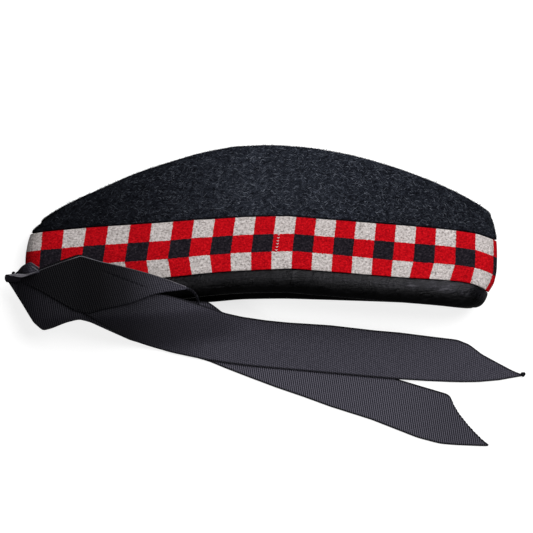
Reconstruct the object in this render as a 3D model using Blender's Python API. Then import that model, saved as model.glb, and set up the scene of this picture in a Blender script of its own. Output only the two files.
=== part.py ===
"""A glengarry cap lying on its left side, with its two back ribbons spread out beside it.

Metres, +Z up. +X runs from the back of the cap to its front and +Y from the rim to the crown,
so the cap's right side faces up and its left side lies on the surface at z = 0.
"""

from collections import namedtuple
from math import cos, pi, radians, sin, sqrt

import bmesh
import bpy
import numpy as np

# Cap as it lies flat
CAP_LENGTH = 0.2995
CROWN_HEIGHT = 0.1046
RIM_ARCH_RIGHT = 0.0122
RIM_ARCH_LEFT = 0.0079
END_ROUND = 0.0100
MIDDLE_THICKNESS = 0.0360
END_THICKNESS = 0.0310
RIDGE_THICKNESS = 0.0280
NOSE_SQUARENESS = 16
SIDE_FALL = 1.8
PRESSED_FLAT = 0.0012
FELT = 0.0025

# Crease along the top of the crown
RIDGE_RADIUS = 0.0040
CREASE_DEPTH = 0.0450
CREASE_END = 0.0300
CREASE_BOTTOM = 0.0032
CREASE_FULLNESS = 0.8

# Diced band
BAND_HEIGHT = 0.0345
BAND_THICKNESS = 0.0012
BAND_SEAM = 0.0012
BAND_FADE = 0.0050

# Leather binding round the rim
BINDING_HEIGHT = 0.0145
BINDING_BULGE = 0.0022
BINDING_LEATHER = 0.0010
BINDING_FLAP = 0.0120
FELT_EDGE_HEIGHT = 0.0026

# Ribbons
RIBBON_WIDTH = 0.0300
RIBBON_THICKNESS = 0.0010
UPPER_TAIL_REACH = 0.3184
UPPER_TAIL_DROP = 0.0406
LOWER_TAIL_REACH = 0.2963
LOWER_TAIL_DROP = 0.0861
DRAPE_REACH = 0.0260
DRAPE_STIFFNESS = 0.0035
BACK_STEEPER = 1.4
LEAVES_CAP = 0.1060
REACHES_FLOOR = 0.1480
UPPER_TAIL_LAG = 0.0060
TAILS_PART = 0.2440
TAILS_APART = 0.2640
GATHER_WIDTH = 0.0064
GATHER_THICKNESS = 0.0110

# Clearance between pieces, and the fineness of the meshes
GAP = 0.0003
SIDE_STATIONS = 32
RIBBON_COLUMNS = 8
RIBBON_STEPS = 2
DRAPE_AROUND = 96
DRAPE_UP = 30
GATHER_SIDES = 10

# Ridge line: share of its length from the back, and its rise from the band's top to CROWN_HEIGHT
RidgePoint = namedtuple("RidgePoint", "along rise")
RIDGE = [
    RidgePoint(0.00, 0.179),
    RidgePoint(0.05, 0.325),
    RidgePoint(0.13, 0.512),
    RidgePoint(0.21, 0.686),
    RidgePoint(0.29, 0.820),
    RidgePoint(0.37, 0.930),
    RidgePoint(0.44, 0.987),
    RidgePoint(0.51, 1.000),
    RidgePoint(0.59, 0.975),
    RidgePoint(0.68, 0.902),
    RidgePoint(0.77, 0.782),
    RidgePoint(0.86, 0.622),
    RidgePoint(0.94, 0.440),
    RidgePoint(1.00, 0.266),
]

# Rim line: share of its length from the back, and each side's rise as a share of its own arch
RimPoint = namedtuple("RimPoint", "along right left")
RIM = [
    RimPoint(0.00, 0.00, 0.00),
    RimPoint(0.15, 0.31, 0.40),
    RimPoint(0.31, 0.58, 0.72),
    RimPoint(0.40, 0.84, 0.86),
    RimPoint(0.48, 0.97, 0.96),
    RimPoint(0.56, 1.00, 1.00),
    RimPoint(0.63, 0.88, 0.94),
    RimPoint(0.72, 0.70, 0.84),
    RimPoint(0.82, 0.50, 0.71),
    RimPoint(0.91, 0.32, 0.54),
    RimPoint(1.00, 0.05, 0.20),
]

# Ends: share of the wall's height, and how far each end is drawn in as a share of END_ROUND
EndPoint = namedtuple("EndPoint", "height back front")
ENDS = [
    EndPoint(0.00, 0.51, 1.20),
    EndPoint(0.10, 0.34, 0.80),
    EndPoint(0.20, 0.19, 0.46),
    EndPoint(0.30, 0.09, 0.17),
    EndPoint(0.45, 0.01, 0.03),
    EndPoint(0.60, 0.02, 0.00),
    EndPoint(0.75, 0.19, 0.01),
    EndPoint(0.87, 0.48, 0.15),
    EndPoint(1.00, 1.00, 0.32),
]

# Ribbon sections: the middle as shares of the tail's reach and drop from the cap's back corner,
# the direction across in degrees, and the spread across as a share of RIBBON_WIDTH
RibbonSection = namedtuple("RibbonSection", "reach drop across spread")
UPPER_TAIL = [
    RibbonSection(-0.018, -0.49, 11.0, 0.21),
    RibbonSection(0.016, -0.54, 54.0, 0.29),
    RibbonSection(0.052, -0.53, 61.0, 0.71),
    RibbonSection(0.089, -0.51, 65.0, 1.06),
    RibbonSection(0.134, -0.37, 52.0, 1.22),
    RibbonSection(0.183, -0.24, 30.0, 1.62),
    RibbonSection(0.224, -0.13, 16.6, 2.16),
    RibbonSection(0.233, -0.05, 14.3, 2.25),
    RibbonSection(0.272, 0.135, 18.0, 1.95),
    RibbonSection(0.324, 0.285, 23.4, 1.70),
    RibbonSection(0.380, 0.40, 31.7, 1.50),
    RibbonSection(0.431, 0.485, 42.7, 1.31),
    RibbonSection(0.563, 0.58, 53.7, 1.15),
    RibbonSection(0.646, 0.633, 60.6, 1.085),
    RibbonSection(0.732, 0.693, 65.6, 1.03),
    RibbonSection(0.817, 0.762, 70.6, 0.965),
    RibbonSection(0.877, 0.80, 82.8, 0.855),
    RibbonSection(0.918, 0.91, 79.0, 0.57),
    RibbonSection(0.959, 0.984, 71.0, 0.27),
    RibbonSection(0.994, 1.00, 60.0, 0.04),
]
LOWER_TAIL = [
    RibbonSection(-0.025, -0.23, 10.0, 0.24),
    RibbonSection(0.008, -0.186, 43.6, 0.62),
    RibbonSection(0.043, -0.141, 51.0, 1.09),
    RibbonSection(0.072, 0.0, 47.5, 1.04),
    RibbonSection(0.113, -0.037, 44.0, 0.98),
    RibbonSection(0.148, -0.06, 48.0, 0.86),
    RibbonSection(0.208, 0.019, 37.6, 0.94),
    RibbonSection(0.295, 0.115, 41.5, 1.00),
    RibbonSection(0.376, 0.20, 46.8, 0.94),
    RibbonSection(0.448, 0.274, 57.0, 0.90),
    RibbonSection(0.546, 0.381, 62.6, 1.02),
    RibbonSection(0.648, 0.50, 68.0, 1.02),
    RibbonSection(0.729, 0.595, 69.7, 1.045),
    RibbonSection(0.812, 0.70, 70.8, 1.04),
    RibbonSection(0.900, 0.797, 75.5, 1.02),
    RibbonSection(0.929, 0.866, 85.5, 0.71),
    RibbonSection(0.959, 0.921, 90.0, 0.42),
    RibbonSection(0.985, 0.972, 90.0, 0.16),
    RibbonSection(1.000, 1.00, 90.0, 0.03),
]

# Gather: its middle as shares of RIBBON_WIDTH from the cap's back corner, towards the front and
# up the cap, its width as a share of GATHER_WIDTH, and its underside and top as heights over the
# middle of the cap's end, as shares of GATHER_THICKNESS
GatherSection = namedtuple("GatherSection", "along up width under top")
GATHER = [
    GatherSection(0.235, 0.90, 0.40, 1.22, 1.36),
    GatherSection(0.130, 0.93, 0.90, 1.00, 1.42),
    GatherSection(0.030, 0.90, 1.15, 0.58, 1.30),
    GatherSection(-0.040, 0.86, 1.15, -0.20, 1.08),
    GatherSection(-0.120, 0.82, 1.05, -0.25, 0.85),
    GatherSection(-0.240, 0.76, 0.75, -0.05, 0.62),
    GatherSection(-0.360, 0.71, 0.60, 0.05, 0.42),
]


def smooth_column(rows, key, value, at):
    """Reads a column of a table at any place by a smooth curve that never overshoots its rows."""
    xs = [getattr(row, key) for row in rows]
    ys = [getattr(row, value) for row in rows]
    at = min(max(at, xs[0]), xs[-1])
    slopes = [(y1 - y0) / (x1 - x0) for x0, x1, y0, y1 in zip(xs, xs[1:], ys, ys[1:])]
    index = max(i for i in range(len(slopes)) if xs[i] <= at or i == 0)

    def tangent(i):
        if i == 0:
            return slopes[0]
        if i == len(slopes):
            return slopes[-1]
        before, after = slopes[i - 1], slopes[i]
        return 2 * before * after / (before + after) if before * after > 0 else 0.0

    width = xs[index + 1] - xs[index]
    t = (at - xs[index]) / width
    return (
        ys[index] * (1 + 2 * t) * (1 - t) ** 2
        + tangent(index) * width * t * (1 - t) ** 2
        + ys[index + 1] * t * t * (3 - 2 * t)
        + tangent(index + 1) * width * t * t * (t - 1)
    )


def ease(share):
    share = min(max(share, 0.0), 1.0)
    return share * share * (3 - 2 * share)


NOSE_HEIGHT = RIDGE_THICKNESS / 2
BAND_FOOT = BINDING_HEIGHT + GAP
BAND_TOP = BAND_FOOT + BAND_HEIGHT


def side_fullness(phi):
    """0 at the back and front ends, +1 on the right side and -1 on the left side."""
    along = min(abs(cos(phi)), 1 - 1e-9)
    return sin(phi) * sqrt((1 - along**NOSE_SQUARENESS) / (1 - along**2))


def along_share(phi):
    return (1 - cos(phi)) / 2


def rim_line(phi):
    right = RIM_ARCH_RIGHT * smooth_column(RIM, "along", "right", along_share(phi))
    left = RIM_ARCH_LEFT * smooth_column(RIM, "along", "left", along_share(phi))
    return left + (right - left) * (1 + side_fullness(phi)) / 2


def ridge_line(share):
    return BAND_TOP + (CROWN_HEIGHT - BAND_TOP) * smooth_column(RIDGE, "along", "rise", share)


def wall_height(phi):
    return ridge_line(along_share(phi)) - RIDGE_RADIUS - rim_line(phi)


def span(share, drawn_in=0.0):
    """Middle and half length of the ring of wall at this share of its height."""
    back = -CAP_LENGTH / 2 + END_ROUND * smooth_column(ENDS, "height", "back", share) + drawn_in
    front = CAP_LENGTH / 2 - END_ROUND * smooth_column(ENDS, "height", "front", share) - drawn_in
    return (back + front) / 2, (front - back) / 2


def side_z(phi, share, drawn_in=0.0):
    """Height of the cap's outer surface as it lies; the left side is pressed flat."""
    full = side_fullness(phi)
    if full < 0:
        pressed = min(-full * (1 + PRESSED_FLAT / NOSE_HEIGHT), 1.0)
        return NOSE_HEIGHT - pressed * (NOSE_HEIGHT - drawn_in)
    at_rim = END_THICKNESS + (MIDDLE_THICKNESS - END_THICKNESS) * sin(phi) ** 2
    fall = min(max(share, 0.0), 1.0) ** SIDE_FALL
    top = at_rim + (RIDGE_THICKNESS - at_rim) * fall
    return NOSE_HEIGHT + full * (top - NOSE_HEIGHT - drawn_in)


def outer_point(phi, height):
    """A point of the cap's outermost surface, over band and binding, at a height above the rim."""
    share = height / wall_height(phi)
    middle, half = span(share)
    return np.array((middle - half * cos(phi), rim_line(phi) + height, side_z(phi, share)))


def wall_point(phi, height, inset):
    """A point that lies the given depth under the outermost surface."""
    if inset == 0:
        return outer_point(phi, height)
    round_cap = outer_point(phi + 1e-3, height) - outer_point(phi - 1e-3, height)
    up_cap = outer_point(phi, height + 1e-4) - outer_point(phi, height - 1e-4)
    outward = np.cross(round_cap, up_cap)
    return outer_point(phi, height) - inset * outward / np.linalg.norm(outward)


def felt_inset(height):
    """How deep the felt's outer face lies: under the binding, under the band, then at the surface."""
    under_binding = BINDING_BULGE + GAP
    under_band = BAND_THICKNESS + GAP
    if height < BINDING_HEIGHT:
        rise = ease((height - BINDING_HEIGHT / 2) / (BINDING_HEIGHT * 0.4))
        return under_binding + (under_band - under_binding) * rise
    return under_band * (1 - ease((height - BAND_TOP - GAP) / BAND_FADE))


def stations():
    return [pi * k / SIDE_STATIONS for k in range(2 * SIDE_STATIONS)]


def roll_point(phi, turn):
    """A point of the rolled ridge, turned from the wall (0) over the top and into the crease (pi)."""
    drawn_in = RIDGE_RADIUS * (1 - cos(turn))
    middle, half = span(1.0, drawn_in)
    y = ridge_line(along_share(phi)) - RIDGE_RADIUS * (1 - sin(turn))
    return np.array((middle - half * cos(phi), y, side_z(phi, 1.0, drawn_in)))


def crease_point(phi, share):
    """A point of the crease's walls, at a share of its depth."""
    ridge_middle, ridge_half = span(1.0, RIDGE_RADIUS)
    middle, half = span(1.0, 2 * RIDGE_RADIUS + share * CREASE_END)
    x = middle - half * cos(phi)
    along = (x - ridge_middle + ridge_half) / (2 * ridge_half)
    depth = CREASE_DEPTH * sin(pi * min(max(along, 0.0), 1.0)) **CREASE_FULLNESS
    open_half = NOSE_HEIGHT - 2 * RIDGE_RADIUS
    half_gap = open_half + (CREASE_BOTTOM / 2 - open_half) * sin(share * pi / 2)
    y = ridge_line(along) - RIDGE_RADIUS - share * depth
    return np.array((x, y, NOSE_HEIGHT + half_gap * side_fullness(phi)))


def recoloured(name, colour, roughness):
    material = bpy.data.materials.new(name)
    material.use_nodes = True
    shader = material.node_tree.nodes["Principled BSDF"]
    shader.inputs["Base Color"].default_value = (*colour, 1.0)
    shader.inputs["Roughness"].default_value = roughness
    shader.inputs["Metallic"].default_value = 0.0
    return material


def new_object(name, mesh_data, material, smooth_below=40):
    mesh_data.materials.append(material)
    mesh_data.shade_smooth()
    mesh_data.set_sharp_from_angle(angle=radians(smooth_below))
    made = bpy.data.objects.new(name, mesh_data)
    bpy.context.scene.collection.objects.link(made)
    return made


def loft(name, sections, material, ring=False):
    """Skins equal closed sections in order; a ring joins the last to the first, and else both are capped."""
    bm = bmesh.new()
    rows = [[bm.verts.new(point) for point in section] for section in sections]
    pairs = list(zip(rows, rows[1:])) + ([(rows[-1], rows[0])] if ring else [])
    for before, after in pairs:
        for i in range(len(before)):
            j = (i + 1) % len(before)
            bm.faces.new((before[i], before[j], after[j], after[i]))
    if not ring:
        bm.faces.new(rows[0][::-1])
        bm.faces.new(rows[-1])
    bmesh.ops.recalc_face_normals(bm, faces=bm.faces)
    mesh = bpy.data.meshes.new(name)
    bm.to_mesh(mesh)
    bm.free()
    return new_object(name, mesh, material)


def felt_rings():
    """The felt's outer face as rings of points, from the rim over the ridge into the crease."""
    low_heights = [FELT_EDGE_HEIGHT, BINDING_HEIGHT / 2, BINDING_HEIGHT * 0.9]
    band_heights = [BAND_FOOT + BAND_HEIGHT * share for share in (0.25, 0.5, 0.75, 1.0)]
    heights = low_heights + band_heights
    rings = [[wall_point(phi, h, felt_inset(h)) for phi in stations()] for h in heights]
    above = BAND_TOP + GAP + BAND_FADE
    for share in (0.0, 0.3, 0.65, 1.0):
        rings.append([outer_point(phi, above + share * (wall_height(phi) - above)) for phi in stations()])
    for turn in (45, 90, 135, 180):
        rings.append([roll_point(phi, radians(turn)) for phi in stations()])
    for share in (0.25, 0.5, 0.75, 1.0):
        rings.append([crease_point(phi, share) for phi in stations()])
    return rings


def make_felt_crown(material):
    bm = bmesh.new()
    rows = [[bm.verts.new(point) for point in ring] for ring in felt_rings()]
    count = 2 * SIDE_STATIONS
    for lower, upper in zip(rows, rows[1:]):
        for i in range(count):
            j = (i + 1) % count
            bm.faces.new((lower[i], lower[j], upper[j], upper[i]))
    floor_row = rows[-1]
    bm.faces.new((floor_row[0], floor_row[1], floor_row[-1]))
    for i in range(1, SIDE_STATIONS - 1):
        bm.faces.new((floor_row[i], floor_row[i + 1], floor_row[-i - 1], floor_row[-i]))
    last = SIDE_STATIONS
    bm.faces.new((floor_row[last - 1], floor_row[last], floor_row[last + 1]))
    bmesh.ops.recalc_face_normals(bm, faces=bm.faces)
    mesh = bpy.data.meshes.new("felt_crown")
    bm.to_mesh(mesh)
    bm.free()
    crown = new_object("felt_crown", mesh, material)
    wall = crown.modifiers.new("wall", "SOLIDIFY")
    wall.thickness = FELT
    wall.offset = -1.0
    wall.use_even_offset = True
    return crown


def make_diced_band(material):
    """A flat tape round the felt, whose ends meet at the back."""
    seam = BAND_SEAM / 2 / (NOSE_HEIGHT * sqrt(NOSE_SQUARENESS / 2))
    angles = [seam] + stations()[1:] + [2 * pi - seam]
    rows = [BAND_FOOT + BAND_HEIGHT * share for share in (0.0, 0.25, 0.5, 0.75, 1.0)]
    sections = []
    for phi in angles:
        outer = [wall_point(phi, height, 0.0) for height in rows]
        inner = [wall_point(phi, height, BAND_THICKNESS) for height in reversed(rows)]
        sections.append(outer + inner)
    return loft("diced_band", sections, material)


BindingPoint = namedtuple("BindingPoint", "height inset")


def binding_section():
    """The binding's outline: a padded roll outside, a fold under the felt's edge and a flap inside."""
    face = BINDING_HEIGHT
    slot_foot = FELT_EDGE_HEIGHT - 2 * GAP
    outside = [
        BindingPoint(face, felt_inset(face * 0.99) - GAP - BINDING_LEATHER * 0.4),
        BindingPoint(face * 0.93, BINDING_BULGE * 0.12),
        BindingPoint(face * 0.75, 0.0),
        BindingPoint(face * 0.40, 0.0),
        BindingPoint(face * 0.18, BINDING_BULGE * 0.16),
        BindingPoint(face * 0.05, BINDING_BULGE * 0.6),
    ]
    inner_face = BINDING_BULGE + 3 * GAP + FELT
    under = [
        BindingPoint(0.0, BINDING_BULGE + GAP),
        BindingPoint(0.0, inner_face - GAP),
        BindingPoint(face * 0.09, inner_face + BINDING_LEATHER * 0.8),
    ]
    flap_heights = [face * 0.25, face * 0.5, BINDING_FLAP]
    flap_out = [BindingPoint(h, felt_inset(h) + FELT + 2 * GAP + BINDING_LEATHER) for h in flap_heights]
    slot_in = [BindingPoint(h, felt_inset(h) + FELT + 2 * GAP) for h in reversed(flap_heights)]
    slot_in.append(BindingPoint(slot_foot, inner_face))
    slot_out = [BindingPoint(slot_foot, BINDING_BULGE)]
    slot_out += [BindingPoint(h, felt_inset(h) - GAP) for h in (face * 0.5, face * 0.9, face * 0.99)]
    return outside + under + flap_out + slot_in + slot_out


def make_leather_binding(material):
    sections = [
        [wall_point(phi, point.height, point.inset) for point in binding_section()]
        for phi in stations()
    ]
    return loft("leather_binding", sections, material, ring=True)


def cap_top_points():
    """Points over the cap's upper side up to the band's top, which the ribbons are draped on."""
    points = []
    for k in range(1, DRAPE_AROUND):
        for i in range(DRAPE_UP + 1):
            points.append(outer_point(pi * k / DRAPE_AROUND, BAND_TOP * i / DRAPE_UP))
    return np.array(points)


CAP_TOP = cap_top_points()


def drape_height(x, y, layer):
    """Height of a soft ribbon's underside: it lies on the cap, falls off its edge and reaches the floor."""
    behind = CAP_TOP[:, 0] - x
    distance = np.hypot(np.where(behind > 0, behind * BACK_STEEPER, behind), CAP_TOP[:, 1] - y)
    away = np.clip((distance - DRAPE_STIFFNESS * (1 + layer / 2)) / DRAPE_REACH, 0.0, 1.0)
    lying = float((CAP_TOP[:, 2] * (1 - away * away * (3 - 2 * away))).max())
    from_back = x + CAP_LENGTH / 2 - layer * UPPER_TAIL_LAG
    return lying * (1 - ease((from_back - LEAVES_CAP) / (REACHES_FLOOR - LEAVES_CAP)))


def ribbon_sections(rows, reach, drop, layer):
    """Sections of a draped ribbon; layer 0 lies lowest and layer 1 lies over it."""
    sections = []
    places = []
    for before, after in zip(rows, rows[1:]):
        places += [before.reach + (after.reach - before.reach) * i / RIBBON_STEPS for i in range(RIBBON_STEPS)]
    places.append(rows[-1].reach)
    for place in places:
        down = smooth_column(rows, "reach", "drop", place)
        across = radians(smooth_column(rows, "reach", "across", place))
        spread = smooth_column(rows, "reach", "spread", place)
        middle = np.array((place * reach - CAP_LENGTH / 2, -down * drop))
        over = layer * (1 - ease((middle[0] + CAP_LENGTH / 2 - TAILS_PART) / (TAILS_APART - TAILS_PART)))
        half = RIBBON_WIDTH / 2 * spread * np.array((cos(across), sin(across)))
        under = []
        for column in range(RIBBON_COLUMNS):
            x, y = middle + half * (1 - 2 * column / (RIBBON_COLUMNS - 1))
            draped = drape_height(x, y, layer)
            lifted = min(draped, GAP)
            step = over * (RIBBON_THICKNESS + GAP + lifted)
            under.append(np.array((x, y, draped + lifted + step)))
        above = [point + np.array((0.0, 0.0, RIBBON_THICKNESS)) for point in reversed(under)]
        sections.append(under + above)
    return sections


def make_ribbon(name, rows, reach, drop, layer, material):
    return loft(name, ribbon_sections(rows, reach, drop, layer), material)


def make_ribbon_gather(material):
    """The bunched root of both ribbons, where they are sewn to the back of the cap."""
    sections = []
    for row in GATHER:
        x = -CAP_LENGTH / 2 + row.along * RIBBON_WIDTH
        y = row.up * RIBBON_WIDTH
        wide = row.width * GATHER_WIDTH / 2
        middle = NOSE_HEIGHT + (row.top + row.under) * GATHER_THICKNESS / 2
        high = (row.top - row.under) * GATHER_THICKNESS / 2
        turns = [2 * pi * i / GATHER_SIDES for i in range(GATHER_SIDES)]
        sections.append([(x, y + wide * cos(a), middle + high * sin(a)) for a in turns])
    return loft("ribbon_gather", sections, material)


def stand_on_floor(objects):
    """Puts the middle of the model's box over the origin, with its lowest point at z = 0."""
    bpy.context.view_layer.update()
    graph = bpy.context.evaluated_depsgraph_get()
    corners = []
    for obj in objects:
        mesh = obj.evaluated_get(graph).to_mesh()
        corners += [tuple(vertex.co) for vertex in mesh.vertices]
    low, high = np.min(corners, axis=0), np.max(corners, axis=0)
    shift = (-(low[0] + high[0]) / 2, -(low[1] + high[1]) / 2, -low[2])
    for obj in objects:
        obj.location = shift


def main():
    for obj in list(bpy.data.objects):
        bpy.data.objects.remove(obj)
    felt = recoloured("navy felt", (0.013, 0.015, 0.021), 0.95)
    dicing = recoloured("diced tape", (0.45, 0.01, 0.02), 0.85)
    leather = recoloured("black leather", (0.006, 0.006, 0.008), 0.40)
    ribbon = recoloured("black grosgrain", (0.035, 0.033, 0.042), 0.70)
    pieces = [
        make_felt_crown(felt),
        make_diced_band(dicing),
        make_leather_binding(leather),
        make_ribbon("ribbon_lower", LOWER_TAIL, LOWER_TAIL_REACH, LOWER_TAIL_DROP, 0, ribbon),
        make_ribbon("ribbon_upper", UPPER_TAIL, UPPER_TAIL_REACH, UPPER_TAIL_DROP, 1, ribbon),
        make_ribbon_gather(ribbon),
    ]
    stand_on_floor(pieces)


main()
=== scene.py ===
"""The looks of a glengarry cap that lies on its left side with its two ribbons spread out.

Metres, +Z up. +X runs from the back of the cap to its front and +Y from the rim to the crown.
"""

from collections import namedtuple
from math import pi, radians

import bpy
import numpy as np
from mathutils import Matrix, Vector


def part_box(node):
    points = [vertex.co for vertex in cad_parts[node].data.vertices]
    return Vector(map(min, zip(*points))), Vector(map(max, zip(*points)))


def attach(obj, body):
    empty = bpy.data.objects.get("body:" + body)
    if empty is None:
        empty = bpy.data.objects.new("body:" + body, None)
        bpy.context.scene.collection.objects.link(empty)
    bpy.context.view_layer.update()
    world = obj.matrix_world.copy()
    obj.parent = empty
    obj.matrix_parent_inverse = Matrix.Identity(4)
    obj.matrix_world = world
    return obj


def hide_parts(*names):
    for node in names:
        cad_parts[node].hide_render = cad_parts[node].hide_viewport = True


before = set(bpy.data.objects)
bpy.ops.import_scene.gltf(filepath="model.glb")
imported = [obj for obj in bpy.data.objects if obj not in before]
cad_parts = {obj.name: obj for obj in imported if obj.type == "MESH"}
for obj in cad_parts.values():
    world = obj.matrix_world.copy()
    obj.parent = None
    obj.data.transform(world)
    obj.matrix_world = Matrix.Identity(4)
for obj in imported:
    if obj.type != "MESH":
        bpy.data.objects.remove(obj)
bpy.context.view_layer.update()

MM = 0.001

# Cap as it lies flat, the same sizes as its solids
CAP_LENGTH = 0.2995
CROWN_HEIGHT = 0.1046
RIM_ARCH_RIGHT = 0.0122
RIM_ARCH_LEFT = 0.0079
END_ROUND = 0.0100
MIDDLE_THICKNESS = 0.0360
END_THICKNESS = 0.0310
RIDGE_THICKNESS = 0.0280
NOSE_SQUARENESS = 16
SIDE_FALL = 1.8
PRESSED_FLAT = 0.0012
FELT = 0.0025
GAP = 0.0003
RIDGE_RADIUS = 0.0040
CREASE_DEPTH = 0.0450
CREASE_END = 0.0300
CREASE_BOTTOM = 0.0032
CREASE_FULLNESS = 0.8
BAND_HEIGHT = 0.0345
BAND_THICKNESS = 0.0012
BAND_SEAM = 0.0012
BAND_FADE = 0.0050
BAND_EDGE_ROUND = 0.00055
BAND_EDGE_SHARE = 0.02
BINDING_HEIGHT = 0.0145
BINDING_BULGE = 0.0022
BINDING_LEATHER = 0.0010
BINDING_FLAP = 0.0120
FELT_EDGE_HEIGHT = 0.0026
NOSE_HEIGHT = RIDGE_THICKNESS / 2
BAND_FOOT = BINDING_HEIGHT + GAP
BAND_TOP = BAND_FOOT + BAND_HEIGHT

# Meshes of cap and nap, and the relief of their surfaces
SIDE_STATIONS = 360
ROLL_STATIONS = 300
FELT_LOW_RINGS = (FELT_EDGE_HEIGHT, 0.007, 0.011, 0.0135)
FELT_RINGS_UNDER_TAPE = 11
FELT_SWELL_RINGS = 8
FELT_WALL_RINGS = 41
FELT_ROLL_RINGS = 12
FELT_CREASE_RINGS = 16
FELT_INNER_RINGS = 34
FELT_SWELL = 0.0012
FELT_MOTTLE = 0.00016
TAPE_SUNK = 0.00016
TAPE_PUCKER = 0.00014
LEATHER_CRINKLE = 0.00018
ROLL_STEPS = 57
CRINKLED_STEPS = 44
NAP_FIBRES = 48000
NAP_RINGS_BY_TAPE = 11
NAP_SHORT = 0.45
NAP_LENGTH = (0.0012, 0.0038)
NAP_WIDTH = (0.00008, 0.00022)
NAP_LIFT = (0.00008, 0.00040)
NAP_TONE = (0.48, 0.24)
NAP_SPREAD = 0.6
NAP_CURL = 0.75
NAP_ENDS_IN_CREASE = 10
NAP_STEP = 0.335

# A fibre's four stations: share of its length, share of its lift, and half width as a share of its width
NAP_STEPS = ((0.0, 0.15, 0.0), (0.33, 1.0, 0.5), (0.67, 1.0, 0.5), (1.0, 0.3, 0.0))

# Ribbons: sizes laid flat, lean of the ribs in degrees, and rows and columns of their meshes
FLAP_LEAN = 18.0
UPPER_TAIL_LEAN = 6.0
LOWER_TAIL_LEAN = 9.0
LOOP_LEAN = 35.0
FLAP_MESH = (170, 41)
UNDERLAYER_MESH = (40, 6)
TURN_MESH = (30, 7)
UPPER_TAIL_MESH = (300, 29)
LOWER_TAIL_MESH = (560, 29)
LOOP_MESH = (40, 12)

# Ribbon cloth: its own thickness, the thickness it takes up, its weave and its selvedges
RIBBON_CLOTH = 0.0006
RIBBON_THICKNESS = 0.0010
RIB_PITCH = 0.0013
WARP_PITCH = 0.00135
SELVEDGE_BEAD = 0.5
SELVEDGE_WIDTH = 0.0007
SELVEDGE_RADIUS = 0.00026
SELVEDGE_LIFT = (0.0, 0.0002, 0.0003)

# Rows of the flap's mesh at which the painted highlight along its selvedge and its turned lip start
SELVEDGE_FIRST = 18
LIP_FIRST = 76

# Heights and reaches of the flap, the pleat and the loop
FLAP_DOUBLES = 0.1180
FLAP_DOUBLES_OVER = 0.015
FLAP_ROOT = 0.0215
FLAP_CREASE_DEPTH = 0.0011
LIP_REACH = 0.005
LIP_RADIUS = 0.0007
PLEAT_RISE = 0.0026
UNDERLAYER_LOWER = 0.0002
LOWER_ROOT = 0.0185
LOOP_ROOT = 0.0225
LOOP_RISE = 0.0085
LOOP_ARCH = 0.0020
LOOP_TILT = 0.0010
LOOPS_APART = 0.0012
RIPPLE = 0.00015

# The lower tail's cut end in pixels: where it starts, and pitch and depth of its threads' steps
LOWER_CUT_COLUMN = 450
CUT_STEP = 2.7
CUT_STEP_DEPTH = 0.9

# Drape over the cap: how far past it the ribbons fall, and where along it they leave and part
DRAPE_REACH = 0.0260
DRAPE_STIFFNESS = 0.0035
BACK_STEEPER = 1.4
LEAVES_CAP = 0.1060
REACHES_FLOOR = 0.1480
UPPER_TAIL_LAG = 0.0060
TAILS_PART = 0.2440
TAILS_APART = 0.2640

# Knot of thread at the upper tail's point
KNOT_PIXEL = (523.1, 374.3)
KNOT_HEIGHT = 0.0016
KNOT_SIZE = 0.00032
KNOT_THREAD = 0.00090

# Stitches on the tape: places in the photograph's pixels, and the thread's radius, lift and arch
STITCHES = 6
STITCH_FIRST = (279.6, 234.3)
STITCH_STEP = (-0.36, 3.05)
STITCH_CHEVRON = ((-0.9, -0.1), (0.2, 0.8), (1.5, -0.3))
STITCH_RADIUS = 0.00022
STITCH_LIFT = 0.0001
STITCH_ARCH = 0.0002

# Camera and the photograph's frame
CAMERA_HEIGHT = 1.2
PICTURE_PIXELS = 533
PIXEL_ON_FLOOR = 0.00064
BACK_CORNER_PIXEL = (28.0, 311.0)
PICTURE_X = (PICTURE_PIXELS / 2 - BACK_CORNER_PIXEL[0]) * PIXEL_ON_FLOOR - CAP_LENGTH / 2
PICTURE_Y = (BACK_CORNER_PIXEL[1] - PICTURE_PIXELS / 2) * PIXEL_ON_FLOOR
SENSOR = 36.0

# Stage: tone and glow of the floor, strength of the surround, and place, power and size of each light
FLOOR_REACH = 3.0
FLOOR_TONE = (0.36, 0.36, 0.36, 1.0)
FLOOR_GLOW = 0.76
WHITE = (1.0, 1.0, 1.0, 1.0)
SURROUND = 0.12
KEY_LIGHT = ((0.50, 0.62, 1.00), 21.0, 1.00)
FILL_LIGHT = ((-0.15, -1.10, 0.55), 7.0, 1.20)


def table(columns, *rows):
    """Rows of numbers under named columns."""
    kind = namedtuple("Row", columns)
    return [kind(*row) for row in rows]


# Ridge line: share of its length from the back, and its rise from the band's top to CROWN_HEIGHT
RIDGE = table(
    "along rise",
    (0, 0.179), (0.05, 0.325), (0.13, 0.512), (0.21, 0.686), (0.29, 0.82), (0.37, 0.93), (0.44, 0.987),
    (0.51, 1), (0.59, 0.975), (0.68, 0.902), (0.77, 0.782), (0.86, 0.622), (0.94, 0.44), (1, 0.266),
)

# Rim line: share of its length from the back, and each side's rise as a share of its own arch
RIM = table(
    "along right left",
    (0, 0, 0), (0.15, 0.31, 0.28), (0.31, 0.58, 0.5), (0.4, 0.84, 0.73), (0.48, 0.97, 0.96),
    (0.56, 1, 1), (0.63, 0.88, 0.94), (0.72, 0.7, 0.84), (0.82, 0.5, 0.71), (0.91, 0.32, 0.54),
    (1, 0.05, 0.2),
)

# Ends: share of the wall's height, and how far each end is drawn in as a share of END_ROUND
ENDS = table(
    "height back front",
    (0, 0.51, 1.36), (0.1, 0.34, 0.97), (0.2, 0.19, 0.6), (0.3, 0.09, 0.28), (0.45, 0.01, 0.12),
    (0.6, 0.02, 0.1), (0.75, 0.13, 0.14), (0.87, 0.32, 0.28), (0.94, 0.56, 0.38), (1, 1, 0.52),
)

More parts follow.
